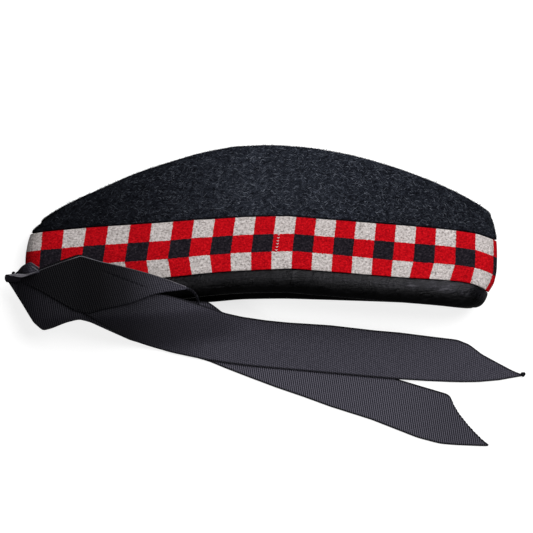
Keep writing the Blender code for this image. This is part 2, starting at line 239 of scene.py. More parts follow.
# The binding's outline: height as a share of BINDING_HEIGHT, and depth under the surface in mm
ROLL = (
    (1, 1.15), (0.985, 0.55), (0.92, 0), (0.82, -0.45), (0.68, -0.8), (0.54, -0.9), (0.4, -0.75),
    (0.27, -0.3), (0.16, 0.45), (0.07, 1.5), (0.015, 2.7), (0, 3.8), (0.01, 4.8), (0.06, 5.8),
    (0.14, 6.4),
)

# Dicing: columns counted from the back, and where each starts along the cap's right side
COLUMNS = table(
    "column along",
    (1, 0.0415), (5, 0.2265), (9, 0.4025), (12, 0.5294), (17, 0.7377), (22, 0.9459),
)
LEFT_COLUMNS = 24

# Shares of the length at back and front over which x gives way to the length walked
BY_X_FROM = (0.004, 0.03)

# How far the middle row's foot is lowered near the front, as a share of a row
MIDDLE_ROW_LOWERED = 0.07

# How far a column leans towards the front on its way down, as a share of its width:
# over the upper two rows, and over the lowest
LEAN = table(
    "along upper lower",
    (0, -0.08, 0.05), (0.06, -0.12, 0.1), (0.15, -0.25, 0.15), (0.37, -0.25, 0.15), (0.44, -0.24, 0.04),
    (0.53, -0.21, -0.03), (0.61, -0.19, -0.05), (0.77, -0.18, -0.07), (0.82, -0.15, -0.2),
    (0.9, -0.07, -0.26), (1, 0, -0.2),
)

# How far the tape's edges wander from their straight course on the cap's right side, in mm
TAPE_EDGES = table(
    "along foot top",
    (0, 0, 0), (0.31, 0, -0.1), (0.36, -0.2, -0.7), (0.4, -0.4, -1.5), (0.47, -0.5, -1.7),
    (0.55, 0, -1.7), (0.58, 0.3, -2.1), (0.67, 0.4, -2), (0.8, 0.5, -1.9), (0.87, 0.9, -2.1),
    (0.92, 1, -2.5), (0.95, 0.5, -2.8), (0.975, -1, -4), (1, -3.8, -5.6),
)

# Share of the cap's length at each end over which the left side's edges turn straight
EDGES_STRAIGHTEN_OVER = 0.06

# Ribbon sections from the root to the end, in the photograph's pixels:
# column and row of the upper edge, then column and row of the lower edge
UPPER_FLAP = (
    (18, 276.6, 19, 279.6), (26, 275.6, 27, 283), (39, 271, 42, 291), (60, 263.2, 58, 300.4),
    (81, 256.2, 75, 310.2), (100, 261.9, 88, 313), (114, 265.1, 103, 308.2), (125, 267.7, 118, 304.9),
    (137, 270.9, 130, 301.9), (150, 274.3, 144, 296.4), (160, 277.6, 154, 292.7),
    (170, 281.1, 167, 290.2), (180, 284.9, 179, 288.9), (188.6, 288.1, 188.6, 288.5),
)
UPPER_TAIL = (
    (144, 290, 78, 309), (155, 293.6, 87, 315.4), (166, 295.2, 103, 324.6), (181, 299.2, 128, 338.6),
    (192.5, 302.8, 150, 346), (203, 306.2, 173, 352.4), (214.3, 309.4, 191, 356.2),
    (224.6, 313.3, 208.5, 359.8), (241.8, 317.3, 228, 362.7), (264.8, 320.8, 253.3, 365.8),
    (287.8, 323.1, 278, 368.1), (330, 325.8, 322, 372), (374, 330.9, 366, 375.9),
    (400.4, 333.2, 393, 378.4), (434.8, 337.6, 428, 380.5), (457, 340.2, 449, 381.4),
    (469, 344.9, 464, 381.7), (482, 354.9, 479, 381.4), (500, 364.6, 499, 379.7),
    (513, 371.5, 512.5, 377.2), (522, 375, 522, 375.6),
)
LOWER_TAIL = (
    (14, 275.6, 8.4, 281), (26, 275, 14.6, 291), (40, 272.6, 22.5, 303.4), (54, 273, 29, 314.4),
    (68, 276, 34, 322.4), (80, 279, 43, 330.2), (92, 282, 52, 327.9), (102, 285, 66, 322.2),
    (112, 288, 79.2, 319), (124, 291, 90, 321.6), (138, 294, 110, 330.6), (156, 297, 130, 339.6),
    (176, 300, 150, 345.4), (196, 302, 173, 351.4), (208.4, 302.6, 193, 356.2),
    (215.4, 307.4, 202, 358.8), (224, 314, 210.5, 361.4), (240, 329, 224.6, 367.3),
    (264, 339, 249.9, 377.1), (290, 347, 276.3, 387), (318, 355.5, 305, 396.8), (344, 363.4, 330, 406),
    (386, 376.3, 371.7, 419.2), (409, 383.2, 394.6, 428.2), (432, 390, 417.6, 437.2),
    (446.3, 394.2, 434.8, 441.8), (450, 396.4, 441, 443.2), (457.8, 412.1, 453, 444.3),
    (469.2, 426.4, 466, 444.9), (480.7, 438.5, 479, 445.4), (488.4, 445.2, 488, 445.6),
)
FLAP_UNDERLAYER = (
    (36, 270.6, 42, 276), (46, 266.4, 50, 273), (60, 261.2, 63, 268), (79, 254.9, 80, 261),
    (83, 256, 83, 260),
)
GATHER_LOOP = (
    (17, 273.2, 17.6, 275.6), (19.4, 269.8, 20.6, 276.4), (22.4, 266.4, 24, 276.4),
    (26.4, 263.9, 28, 275.2), (31, 262.4, 32, 274), (34.4, 264.6, 35.4, 273), (37.4, 267.6, 38, 272.2),
    (39.4, 270.8, 39.6, 271.6),
)
GATHER_LOOP_INNER = (
    (19.6, 272.8, 20, 275.2), (22.4, 269.8, 23.4, 275.6), (26, 267.4, 27.4, 275.2),
    (30, 266.2, 31, 274.2), (33.6, 268, 34.4, 273.2), (37.2, 271.4, 37.4, 272.4),
)

# Last turn of the pleat at its right end: outer and inner edge in the photograph
PLEAT_TURN = (
    (187, 287.8, 186.4, 288.3), (190.4, 289, 189.6, 289.8), (193.6, 291, 192.6, 292),
    (196.2, 294, 195, 294.8), (198, 297.4, 196.8, 298), (199, 301, 197.9, 301.4),
    (199.4, 304, 198.3, 304.4),
)

# The flap by column: the rows of its folded lower edge and of its top, how far it stands clear
# of the layer below, and where its crease runs and shows
FOLD_ROWS = [row[2:] for row in UPPER_FLAP[5:13]] + [(188, 288.4)]
TOP_ROWS = ((81, 256.2), (188, 288))
STANDS_CLEAR = ((88, 0), (120, 0.0012), (150, 0.0024), (190, 0.0026))
CREASE_ENDS = ((103, 272), (144, 287))
CREASE_SHARES = ((98, 0), (112, 1), (142, 1), (150, 0))

# Slow ripple of the upper tail: where it shows, by column, its slant and its length in pixels
RIPPLE_SHARES = ((200, 0), (240, 1), (480, 1), (520, 0))
RIPPLE_SLANT = (0.9, 0.5)
RIPPLE_PIXELS = 19.0

# Both ribbons are held up by the gather on its side of this column and row, over these widths
HELD_FROM = (30, 298)
HELD_OVER = (18, 14)

# Folds of the gather: column, row and height along each, and its radii
Fold = namedtuple("Fold", "spots radii count sides seed wobble", defaults=(0, 0.0))
NUB = Fold(
    (
        (5.4, 278.2, 0.0185), (9, 278.1, 0.0192), (14, 277.9, 0.0212), (20, 277.9, 0.0235),
        (28, 277.2, 0.0255),
    ),
    (0.0023, 0.0026, 0.0025, 0.0022, 0.0016),
    count=44, sides=24, seed=3, wobble=0.0003,
)
CORE = Fold(
    ((15, 276.6, 0.0225), (20, 274, 0.0240), (26, 271, 0.0256), (31, 269.6, 0.0274), (37, 270.6, 0.0292)),
    (0.0014, 0.0022, 0.0028, 0.0024, 0.0008),
    count=36, sides=24, seed=5, wobble=0.0005,
)
LIP = Fold(
    (
        (8.8, 275.0, 0.0220), (12.8, 274.9, 0.0234), (17.0, 275.3, 0.0256), (21.5, 275.5, 0.0280),
        (26.0, 274.9, 0.0312), (31.0, 273.4, 0.0345), (37.5, 271.6, 0.0352),
    ),
    (0.0005, 0.0006, 0.0010, 0.0011, 0.0007, 0.0003, 0.0002),
    count=44, sides=14,
)
RIM_FOLD = Fold(
    ((31.2, 262.9, 0.0322), (34, 264.6, 0.0322), (37, 266.6, 0.0322), (39.8, 268.2, 0.0322)),
    (0.0003, 0.0003),
    count=16, sides=8,
)
INNER_RIM = Fold(
    ((31.2, 266.4, 0.0336), (34.6, 268.4, 0.0338), (38.4, 271.0, 0.0326)),
    (0.0004, 0.0004),
    count=16, sides=8,
)
DOT = Fold(
    ((12.6, 273.8, 0.0226), (13.6, 273.2, 0.0232), (14.7, 273.7, 0.0230)),
    (0.0011, 0.0011),
    count=12, sides=12,
)

# Painted light and shade along the cap: x in metres, and the factor on the colour there. Low factors are
# painted shade, such as towards the back; high ones are painted highlights, such as the leather's bright
# patch
# The felt: painted shade towards its back and front ends
FELT_SHADES = (
    (-0.15, 0.26), (-0.11, 0.30), (-0.06, 0.60), (-0.01, 1.0), (0.05, 0.95), (0.12, 0.68), (0.15, 0.6),
)
# The tape: a little painted shade near its back end
TAPE_SHADES = ((-0.15, 1.05), (-0.10, 0.95), (-0.04, 1.04), (0.10, 1.06), (0.15, 1.0))
# The leather: a painted highlight near its front end, and very little of it towards the back
LEATHER_SHADES = (
    (-0.17, 0.06), (0.02, 0.10), (0.08, 0.33), (0.106, 0.60), (0.113, 1.00), (0.121, 1.00),
    (0.128, 0.55), (0.15, 0.45), (0.165, 0.30),
)
# The tails: painted shade where they fall from the cap towards the back and lie under the flap; the lower
# tail is also darker near its cut end
LOWER_SHADES = (
    (-0.17, 0.17), (-0.12, 0.19), (-0.08, 0.40), (-0.03, 0.92), (0.08, 0.92), (0.12, 0.76),
    (0.17, 0.70),
)
UPPER_SHADES = (
    (-0.17, 0.08), (-0.11, 0.10), (-0.085, 0.24), (-0.06, 0.58), (-0.04, 0.84), (0.0, 0.88),
    (0.17, 0.88),
)
# The flap: painted shade over its back part and over the pleat's rolled turn under its tip
FLAP_SHADES = (
    (-0.17, 0.08), (-0.104, 0.05), (-0.088, 0.14), (-0.076, 0.38), (-0.066, 0.60), (-0.0505, 0.84),
    (-0.0485, 0.26), (-0.044, 0.14),
)
# Painted highlight along the flap's top selvedge, brighter at its back and towards its tip
SELVEDGE_HIGHLIGHT_SHADES = (
    (-0.15, 0.30), (-0.124, 0.40), (-0.118, 1.0), (-0.108, 0.9), (-0.09, 0.35), (-0.065, 0.5),
    (-0.05, 1.3),
)
# Painted highlight on the gather's pale fold, fading towards its far end
FOLD_HIGHLIGHT_SHADES = ((-0.17, 0.9), (-0.157, 1.1), (-0.151, 1.1), (-0.1475, 0.6), (-0.142, 0.4))
EVEN_SHADES = ((-0.2, 0.55), (0.2, 0.55))

# Tones of the tape's yarns, from the deepest to the palest thread
WHITE_YARN = ((0.37, (0.19, 0.165, 0.155)), (0.48, (0.44, 0.40, 0.388)), (0.62, (0.66, 0.61, 0.60)))
RED_YARN = ((0.35, (0.19, 0.001, 0.004)), (0.50, (0.42, 0.002, 0.006)), (0.66, (0.64, 0.008, 0.014)))
DARK_YARN = ((0.36, (0.003, 0.003, 0.005)), (0.52, (0.012, 0.010, 0.014)), (0.68, (0.040, 0.033, 0.041)))


def smooth_column(rows, key, value, at):
    """Reads a column of a table at any places by a smooth curve that never overshoots its rows."""
    xs = np.array([getattr(row, key) for row in rows], float)
    ys = np.array([getattr(row, value) for row in rows], float)
    slopes = np.diff(ys) / np.diff(xs)
    before, after = slopes[:-1], slopes[1:]
    agree = before * after > 0
    inner = np.where(agree, 2 * before * after / np.where(agree, before + after, 1.0), 0.0)
    tangents = np.concatenate([slopes[:1], inner, slopes[-1:]])
    at = np.clip(np.asarray(at, float), xs[0], xs[-1])
    index = np.clip(np.searchsorted(xs, at, side="right") - 1, 0, len(xs) - 2)
    width = xs[index + 1] - xs[index]
    t = (at - xs[index]) / width
    return (
        ys[index] * (1 + 2 * t) * (1 - t) ** 2
        + tangents[index] * width * t * (1 - t) ** 2
        + ys[index + 1] * t * t * (3 - 2 * t)
        + tangents[index + 1] * width * t * t * (t - 1)
    )


def straight_column(rows, at):
    """Reads a table of two columns at any places by straight lines between its rows."""
    return np.interp(at, [row[0] for row in rows], [row[1] for row in rows])


def ease(share):
    share = np.clip(share, 0.0, 1.0)
    return share * share * (3 - 2 * share)


def unit(vectors):
    return vectors / np.maximum(np.linalg.norm(vectors, axis=-1, keepdims=True), 1e-12)


def walked_length(steps):
    """Length walked at each point, from the steps between points."""
    walked = np.cumsum(steps, axis=-1)
    return np.concatenate([np.zeros_like(walked[..., :1]), walked], axis=-1)


def lattice_noise(points, size, seed):
    """Smooth noise from -1 to 1 at each point, with features of the given size."""
    cell = points / size
    base = np.floor(cell)
    part = ease(cell - base)
    total = np.zeros(points.shape[:-1])
    for corner in range(8):
        step = np.array([corner & 1, corner >> 1 & 1, corner >> 2 & 1])
        spot = base + step
        mixed = spot[..., 0] * 127.1 + spot[..., 1] * 311.7 + spot[..., 2] * 74.7 + seed * 17.3
        value = np.sin(mixed) * 43758.5453
        weight = np.prod(np.where(step, part, 1 - part), axis=-1)
        total += weight * (2 * (value - np.floor(value)) - 1)
    return total


def side_fullness(phi):
    """0 at the back and front ends, +1 on the right side and -1 on the left side."""
    along = np.minimum(np.abs(np.cos(phi)), 1 - 1e-9)
    return np.sin(phi) * np.sqrt((1 - along**NOSE_SQUARENESS) / (1 - along**2))


def along_share(phi):
    return (1 - np.cos(phi)) / 2


def rim_line(phi):
    right = RIM_ARCH_RIGHT * smooth_column(RIM, "along", "right", along_share(phi))
    left = RIM_ARCH_LEFT * smooth_column(RIM, "along", "left", along_share(phi))
    return left + (right - left) * (1 + side_fullness(phi)) / 2


def ridge_line(share):
    return BAND_TOP + (CROWN_HEIGHT - BAND_TOP) * smooth_column(RIDGE, "along", "rise", share)


def wall_height(phi):
    return ridge_line(along_share(phi)) - RIDGE_RADIUS - rim_line(phi)


def span(share, drawn_in=0.0):
    """Middle and half length of the ring of wall at this share of its height."""
    back = -CAP_LENGTH / 2 + END_ROUND * smooth_column(ENDS, "height", "back", share) + drawn_in
    front = CAP_LENGTH / 2 - END_ROUND * smooth_column(ENDS, "height", "front", share) - drawn_in
    return (back + front) / 2, (front - back) / 2


def ring_x(phi, share, drawn_in=0.0):
    middle, half = span(share, drawn_in)
    return middle - half * np.cos(phi)


def side_z(phi, share, drawn_in=0.0):
    """Height of the cap's outer surface as it lies; the left side is pressed flat."""
    full = side_fullness(phi)
    pressed = np.clip(-full * (1 + PRESSED_FLAT / NOSE_HEIGHT), 0.0, 1.0)
    below = NOSE_HEIGHT - pressed * (NOSE_HEIGHT - drawn_in)
    at_rim = END_THICKNESS + (MIDDLE_THICKNESS - END_THICKNESS) * np.sin(phi) ** 2
    top = at_rim + (RIDGE_THICKNESS - at_rim) * np.clip(share, 0.0, 1.0) ** SIDE_FALL
    above = NOSE_HEIGHT + full * (top - NOSE_HEIGHT - drawn_in)
    return np.where(full < 0, below, above)


def outer_point(phi, height):
    """Points of the cap's outermost surface, over band and binding, at heights above the rim."""
    phi, height = np.broadcast_arrays(np.asarray(phi, float), np.asarray(height, float))
    share = height / wall_height(phi)
    return np.stack([ring_x(phi, share), rim_line(phi) + height, side_z(phi, share)], axis=-1)


def wall_normal(phi, height):
    round_cap = outer_point(phi + 1e-3, height) - outer_point(phi - 1e-3, height)
    up_cap = outer_point(phi, height + 1e-4) - outer_point(phi, height - 1e-4)
    return unit(np.cross(round_cap, up_cap))


def wall_point(phi, height, inset):
    """Points that lie the given depth under the outermost surface."""
    return outer_point(phi, height) - np.asarray(inset, float)[..., None] * wall_normal(phi, height)


def felt_inset(height):
    """How deep the felt's outer face lies: under the binding, under the band, then at the surface."""
    under_binding = BINDING_BULGE + GAP
    under_band = BAND_THICKNESS + GAP
    rising = ease((height - BINDING_HEIGHT / 2) / (BINDING_HEIGHT * 0.4))
    low = under_binding + (under_band - under_binding) * rising
    high = under_band * (1 - ease((height - BAND_TOP - GAP) / BAND_FADE))
    return np.where(height < BINDING_HEIGHT, low, high)


def roll_point(phi, turn):
    """The rolled ridge, turned from the wall (0) over the top and into the crease (pi)."""
    drawn_in = RIDGE_RADIUS * (1 - np.cos(turn))
    y = ridge_line(along_share(phi)) - RIDGE_RADIUS * (1 - np.sin(turn))
    return np.stack([ring_x(phi, 1.0, drawn_in), y, side_z(phi, 1.0, drawn_in)], axis=-1)


def crease_point(phi, share):
    """The crease's walls, at a share of its depth."""
    ridge_middle, ridge_half = span(1.0, RIDGE_RADIUS)
    x = ring_x(phi, 1.0, 2 * RIDGE_RADIUS + share * CREASE_END)
    along = np.clip((x - ridge_middle + ridge_half) / (2 * ridge_half), 0.0, 1.0)
    depth = CREASE_DEPTH * np.sin(pi * along) ** CREASE_FULLNESS
    open_half = NOSE_HEIGHT - 2 * RIDGE_RADIUS
    half_gap = open_half + (CREASE_BOTTOM / 2 - open_half) * np.sin(share * pi / 2)
    y = ridge_line(along) - RIDGE_RADIUS - share * depth
    return np.stack([x, y, NOSE_HEIGHT + half_gap * side_fullness(phi)], axis=-1)


def cap_shift():
    """From the cap's own axes to the frame's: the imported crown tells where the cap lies."""
    low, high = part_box("felt_crown")
    ridge = roll_point(np.linspace(0, 2 * pi, 721), radians(90))
    heights = np.linspace(0.02, 0.08, 200)
    back = wall_point(np.zeros(200), heights, felt_inset(heights))
    return np.array([low.x - back[:, 0].min(), high.y - ridge[:, 1].max(), 0.0])


SHIFT = cap_shift()


def from_picture(column, row, z):
    """Where a pixel of the photograph lies in the cap's axes, at a height over the floor."""
    size = PIXEL_ON_FLOOR * (1 - z / CAMERA_HEIGHT)
    x = PICTURE_X + (column - PICTURE_PIXELS / 2) * size
    y = PICTURE_Y - (row - PICTURE_PIXELS / 2) * size
    return x, y


def grid_faces(rows, columns, first=0):
    """Quads between closed rings of vertices that are numbered ring by ring."""
    r = np.arange(rows - 1)[:, None] * columns
    c = np.arange(columns)[None, :]
    after = (c + 1) % columns
    corners = np.broadcast_arrays(r + c, r + after, r + columns + after, r + columns + c)
    return (np.stack(corners, axis=-1).reshape(-1, 4) + first).tolist()


def closed_faces(rings, first=0):
    """Quads between rings, and a face over each end."""
    rows, count = rings.shape[:2]
    last = first + (rows - 1) * count
    caps = [tuple(range(first, first + count))[::-1], tuple(range(last, last + count))]
    return grid_faces(rows, count, first) + caps


def linked(name, data):
    obj = bpy.data.objects.new(name, data)
    bpy.context.scene.collection.objects.link(obj)
    return obj


def new_piece(name, points, faces, material, **maps):
    """A mesh object from points in the cap's axes, with faces as lists of vertex numbers.

    Each map is a UV layer by name, with a pair of numbers for each point.
    """
    mesh = bpy.data.meshes.new(name)
    mesh.from_pydata((points.reshape(-1, 3) + SHIFT).tolist(), [], faces)
    mesh.update()
    corners = np.zeros(len(mesh.loops), np.int32)
    mesh.loops.foreach_get("vertex_index", corners)
    for map_name, uv in maps.items():
        layer = mesh.uv_layers.new(name=map_name)
        layer.data.foreach_set("uv", uv.reshape(-1, 2)[corners].astype(np.float32).ravel())
    mesh.shade_smooth()
    mesh.materials.append(material)
    return linked(name, mesh)


def placed(obj, slot, *nodes):
    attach(obj, "root")
    if nodes:
        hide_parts(*nodes)
    return obj


class Shader:
    """A material's node tree, with short ways to add and join nodes.

    Noise scales are features to the metre, and stretch and bump take metres.
    """

    def __init__(self, name):
        self.material = bpy.data.materials.new(name)
        self.material.use_nodes = True
        self.nodes = self.material.node_tree.nodes
        self.links = self.material.node_tree.links
        self.surface = self.nodes["Principled BSDF"]

    def add(self, kind, **settings):
        node = self.nodes.new(kind)
        for key, value in settings.items():
            setattr(node, key, value)
        return node

    def put(self, socket, value):
        if isinstance(value, bpy.types.NodeSocket):
            self.links.new(value, socket)
        else:
            socket.default_value = value

    def feed(self, node, **values):
        for name, value in values.items():
            self.put(node.inputs[name.replace("_", " ")], value)

    def set(self, **values):
        self.feed(self.surface, **values)

    def place(self):
        return self.add("ShaderNodeTexCoord").outputs["Object"]

    def uv(self, name="UVMap"):
        return self.add("ShaderNodeUVMap", uv_map=name).outputs[0]

    def join(self, node, *values):
        """Feeds the node's first inputs in their order and gives its first output."""
        for socket, value in zip(node.inputs, values):
            self.put(socket, value)
        return node.outputs[0]

    def math(self, operation, *values):
        return self.join(self.add("ShaderNodeMath", operation=operation), *values)

    def vector(self, operation, first, second):
        return self.join(self.add("ShaderNodeVectorMath", operation=operation), first, second)

    def parts(self, vector):
        node = self.add("ShaderNodeSeparateXYZ")
        self.join(node, vector)
        return node.outputs

    def total(self, *weighed):
        """The sum of values, each times its weight."""
        summed = None
        for value, weight in weighed:
            part = value if weight == 1 else self.math("MULTIPLY", value, weight)
            summed = part if summed is None else self.math("ADD", summed, part)
        return summed

    def centred(self, value):
        return self.math("SUBTRACT", value, 0.5)

    def mix(self, share, first, second):
        """A colour between two, through the mix node's colour sockets."""
        node = self.add("ShaderNodeMix", data_type="RGBA")
        for index, value in ((0, share), (6, first), (7, second)):
            self.put(node.inputs[index], value)
        return node.outputs[2]

    def ramp(self, value, stops):
        """Colours or tones at places along the value."""
        node = self.add("ShaderNodeValToRGB")
        elements = node.color_ramp.elements
        while len(elements) < len(stops):
            elements.new(0.5)
        for element, (position, colour) in zip(elements, stops):
            element.position = position
            element.color = (*colour, 1.0) if isinstance(colour, tuple) else (colour, colour, colour, 1.0)
        return self.join(node, value)

    def noise(self, where, scale, detail=2.0, roughness=0.5, distortion=0.0, output="Fac"):
        node = self.add("ShaderNodeTexNoise")
        self.feed(node, Vector=where, Scale=scale, Detail=detail)
        self.feed(node, Roughness=roughness, Distortion=distortion)
        return node.outputs[output]

    def stretch(self, where, turn, scales):
        node = self.add("ShaderNodeMapping", vector_type="TEXTURE")
        self.feed(node, Vector=where, Rotation=(0.0, 0.0, turn), Scale=scales)
        return node.outputs[0]

    def shaken(self, where, base, scale, reach):
        """The base vector, moved about by noise."""
        drift = self.noise(where, scale, output="Color")
        node = self.add("ShaderNodeVectorMath", operation="SCALE")
        self.feed(node, Vector=self.vector("SUBTRACT", drift, (0.5, 0.5, 0.5)), Scale=reach)
        return self.vector("ADD", base, node.outputs[0])

    def bump(self, height, distance, strength=1.0, under=None):
        node = self.add("ShaderNodeBump")
        self.feed(node, Height=height, Distance=distance, Strength=strength)
        if under is not None:
            self.feed(node, Normal=under)
        return node.outputs[0]

    def shaded(self, colour, where, stops):
        """The colour with painted shade or painted highlight along the cap; stops are its x in metres and
        the strength there.
        """
        low, high = stops[0][0], stops[-1][0]
        share = self.math("DIVIDE", self.math("SUBTRACT", self.parts(where)[0], low), high - low)
        tones = [((x - low) / (high - low), value) for x, value in stops]
        return self.vector("MULTIPLY", colour, self.ramp(share, tones))


def felt_material():
    """Milled wool felt: short crossing fibres, brushed along the cap, in mottled dark navy."""
    s = Shader("navy felt")
    where = s.place()
    wandering = s.shaken(where, where, 60.0, 0.006)
    strands = []
    for turn, length in ((8, 0.0052), (-30, 0.0040), (42, 0.0036)):
        along = s.stretch(wandering, radians(turn), (length, 0.00095, 0.00095))
        strands.append(s.noise(along, 1.0, 3.0, 0.6))
    upper = s.math("MAXIMUM", strands[0], strands[1])
    clumps = s.noise(where, 330.0, 3.0, 0.65)
    patchy_tone = s.noise(where, 24.0)
    level = s.total((upper, 0.6), (strands[2], 0.4), (s.centred(clumps), 0.5), (s.centred(patchy_tone), 0.12))
    tones = (
        (0.40, (0.0022, 0.0026, 0.0040)),
        (0.52, (0.0082, 0.0095, 0.0140)),
        (0.62, (0.0230, 0.0262, 0.0360)),
        (0.76, (0.0780, 0.0870, 0.1120)),
    )
    # Painted shade: the felt's colour is darkened towards the cap's ends
    colour = s.shaded(s.ramp(level, tones), where, FELT_SHADES)
    s.set(Base_Color=colour, Roughness=0.95, Specular_IOR_Level=0.04)
    s.set(Normal=s.bump(level, 0.0010, 0.9))
    return s.material


def nap_material():
    """Single wool fibres, from near black to pale blue grey."""
    s = Shader("navy fibres")
    tones = (
        (0.00, (0.0030, 0.0035, 0.0055)),
        (0.40, (0.0110, 0.0130, 0.0190)),
        (0.70, (0.0420, 0.0480, 0.0640)),
        (1.00, (0.1600, 0.1750, 0.2100)),
    )
    # Painted shade: each fibre's tone is darkened towards the cap's ends
    colour = s.shaded(s.ramp(s.parts(s.uv())[0], tones), s.place(), FELT_SHADES)
    s.set(Base_Color=colour, Roughness=0.9, Specular_IOR_Level=0.04)
    return s.material


def dicing_material():
    """Woven tape: three rows of squares in off-white, red and near black, with a visible weave."""
    s = Shader("diced tape")
    uv = s.uv()
    where = s.place()
    square = s.parts(s.shaken(where, uv, 1100.0, 0.085))
    odd = s.math("FLOORED_MODULO", s.math("FLOOR", square[0]), 2.0)
    middle = s.math("COMPARE", s.math("FLOOR", square[1]), 1.0, 0.1)
    plain_share = s.math("ABSOLUTE", s.math("SUBTRACT", odd, s.math("SUBTRACT", 1.0, middle)))
    slubs = s.noise(s.stretch(where, 0.0, (0.0016, 0.0009, 0.0012)), 1.0, 3.0, 0.65)
    yarn = s.total((slubs, 0.5), (s.noise(where, 900.0, 2.0, 0.7), 0.5))
    white, red, dark = (s.ramp(yarn, tones) for tones in (WHITE_YARN, RED_YARN, DARK_YARN))
    colour = s.mix(s.math("SUBTRACT", 1.0, plain_share), s.mix(odd, white, dark), red)
    # Painted shade: the tape's colour is a little darker near the back end
    s.set(Base_Color=s.shaded(colour, where, TAPE_SHADES), Roughness=0.9, Specular_IOR_Level=0.04)
    wave = s.parts(s.vector("MULTIPLY", uv, (2 * pi * 22, 2 * pi * 20, 0.0)))
    woven = s.math("MULTIPLY", s.math("SINE", wave[0]), s.math("SINE", wave[1]))
    s.set(Normal=s.bump(s.total((woven, 0.25), (yarn, 1)), 0.0005, 0.7))
    return s.material


def leather_material():
    """Soft black leather over padding: fine grain and short wrinkles across the roll."""
    s = Shader("black leather")
    uv = s.uv()
    where = s.place()
    grain = s.add("ShaderNodeTexVoronoi", feature="DISTANCE_TO_EDGE")
    s.feed(grain, Vector=where, Scale=900.0)
    wrinkles = s.noise(s.stretch(uv, 0.5, (0.0030, 0.0060, 1.0)), 1.0, 3.0, 0.55, 0.8)
    blotches = s.noise(where, 90.0, 4.0, 0.65)
    creased = s.noise(s.stretch(where, 0.1, (0.0060, 0.0011, 0.0011)), 1.0, 4.0, 0.7)
    streaks = s.total((blotches, 0.5), (creased, 0.5))
    # Painted highlight: pale blotchy streaks in the base colour, kept to the upper part of the roll where
    # the key light falls, and strongest near the front end by LEATHER_SHADES
    tones = ((0.44, (0.002, 0.002, 0.003)), (0.54, (0.022, 0.021, 0.027)), (0.63, (0.125, 0.119, 0.140)))
    patchy_tone = s.ramp(streaks, tones)
    down = s.math("DIVIDE", s.parts(uv)[1], 0.012)
    highlight_band = s.ramp(down, ((0.20, 0.6), (0.38, 1.0), (0.68, 0.03)))
    s.set(Base_Color=s.shaded(s.vector("MULTIPLY", patchy_tone, highlight_band), where, LEATHER_SHADES))
    gloss = s.add("ShaderNodeMapRange")
    s.feed(gloss, Value=streaks, From_Min=0.38, From_Max=0.62, To_Min=0.20, To_Max=0.54)
    s.set(Roughness=gloss.outputs[0], Specular_IOR_Level=0.13, Specular_Tint=(0.94, 0.93, 1.0, 1.0))
    fine = s.bump(s.math("MINIMUM", grain.outputs["Distance"], 0.25), 0.0002, 0.35)
    s.set(Normal=s.bump(s.total((wrinkles, 1), (creased, 0.7)), 0.0008, 0.65, fine))
    return s.material


def ribbon_material(name, shades, ribs, ticks, edge):
    """Grosgrain: raised ribs across the ribbon, each broken into small ticks by the warp.

    The last three say how strong the ribs and the ticks look, and how much painted shade (below 1) or
    painted highlight (above 1) the selvedges get; the shades paint light and shade along the cap.
    """
    s = Shader(name)
    where = s.place()
    thread = s.parts(s.shaken(where, s.uv(), 220.0, 0.00022))
    rib_turn = s.math("MULTIPLY", thread[1], 2 * pi / RIB_PITCH)
    rib = s.math("SINE", rib_turn)
    warp = s.math("SINE", s.total((thread[0], 2 * pi / WARP_PITCH), (rib_turn, 0.5)))
    fuzz = s.centred(s.noise(where, 1300.0, 2.0, 0.6))
    # Rib tops and warp ticks are painted lighter and the valleys darker: painted highlight and shade on
    # the weave, with random fuzz of tone
    lit = s.total((rib, ribs), (warp, ticks), (fuzz, 0.7))
    lit = s.math("ADD", s.math("MULTIPLY", lit, 0.5), 0.5)
    tones = (
        (0.25, (0.0090, 0.0085, 0.0130)),
        (0.50, (0.0430, 0.0410, 0.0550)),
        (0.80, (0.1350, 0.1290, 0.1600)),
    )
    # Painted shade or highlight at the selvedges, and painted shade along the cap from the shades
    edge_light_and_shade = s.ramp(s.parts(s.uv("FromEdge"))[0], ((0.30, edge), (1.0, 1.0)))
    colour = s.vector("MULTIPLY", s.shaded(s.ramp(lit, tones), where, shades), edge_light_and_shade)
    s.set(Base_Color=colour, Roughness=0.62, Specular_IOR_Level=0.06)
    s.set(Normal=s.bump(s.total((rib, 1), (warp, ticks / ribs)), 0.00010, 0.9))
    return s.material


def thread_material(name, colour, shades=None):
    s = Shader(name)
    where = s.place()
    twist = s.noise(where, 2500.0)
    twisted = s.ramp(twist, ((0.35, tuple(part * 0.6 for part in colour)), (0.65, colour)))
    # Shades paint a highlight along the cap, for the pale fold and the selvedge thread
    if shades:
        twisted = s.shaded(twisted, where, shades)
    s.set(Base_Color=twisted, Roughness=0.7, Specular_IOR_Level=0.1)
    s.set(Normal=s.bump(twist, 0.0002, 0.5))
    return s.material


def stations(count=SIDE_STATIONS):
    return np.arange(2 * count) * pi / count


def tape_edge(phi, key):
    """Height of the tape's foot or top edge above the rim; on the left side it runs straight."""
    share = along_share(phi)
    wander = smooth_column(TAPE_EDGES, "along", key, share)
    on_left = side_fullness(phi) < 0
    fading = np.where(on_left, 1 - ease(np.minimum(share, 1 - share) / EDGES_STRAIGHTEN_OVER), 1.0)
    return (BAND_FOOT if key == "foot" else BAND_TOP) + wander * fading * MM


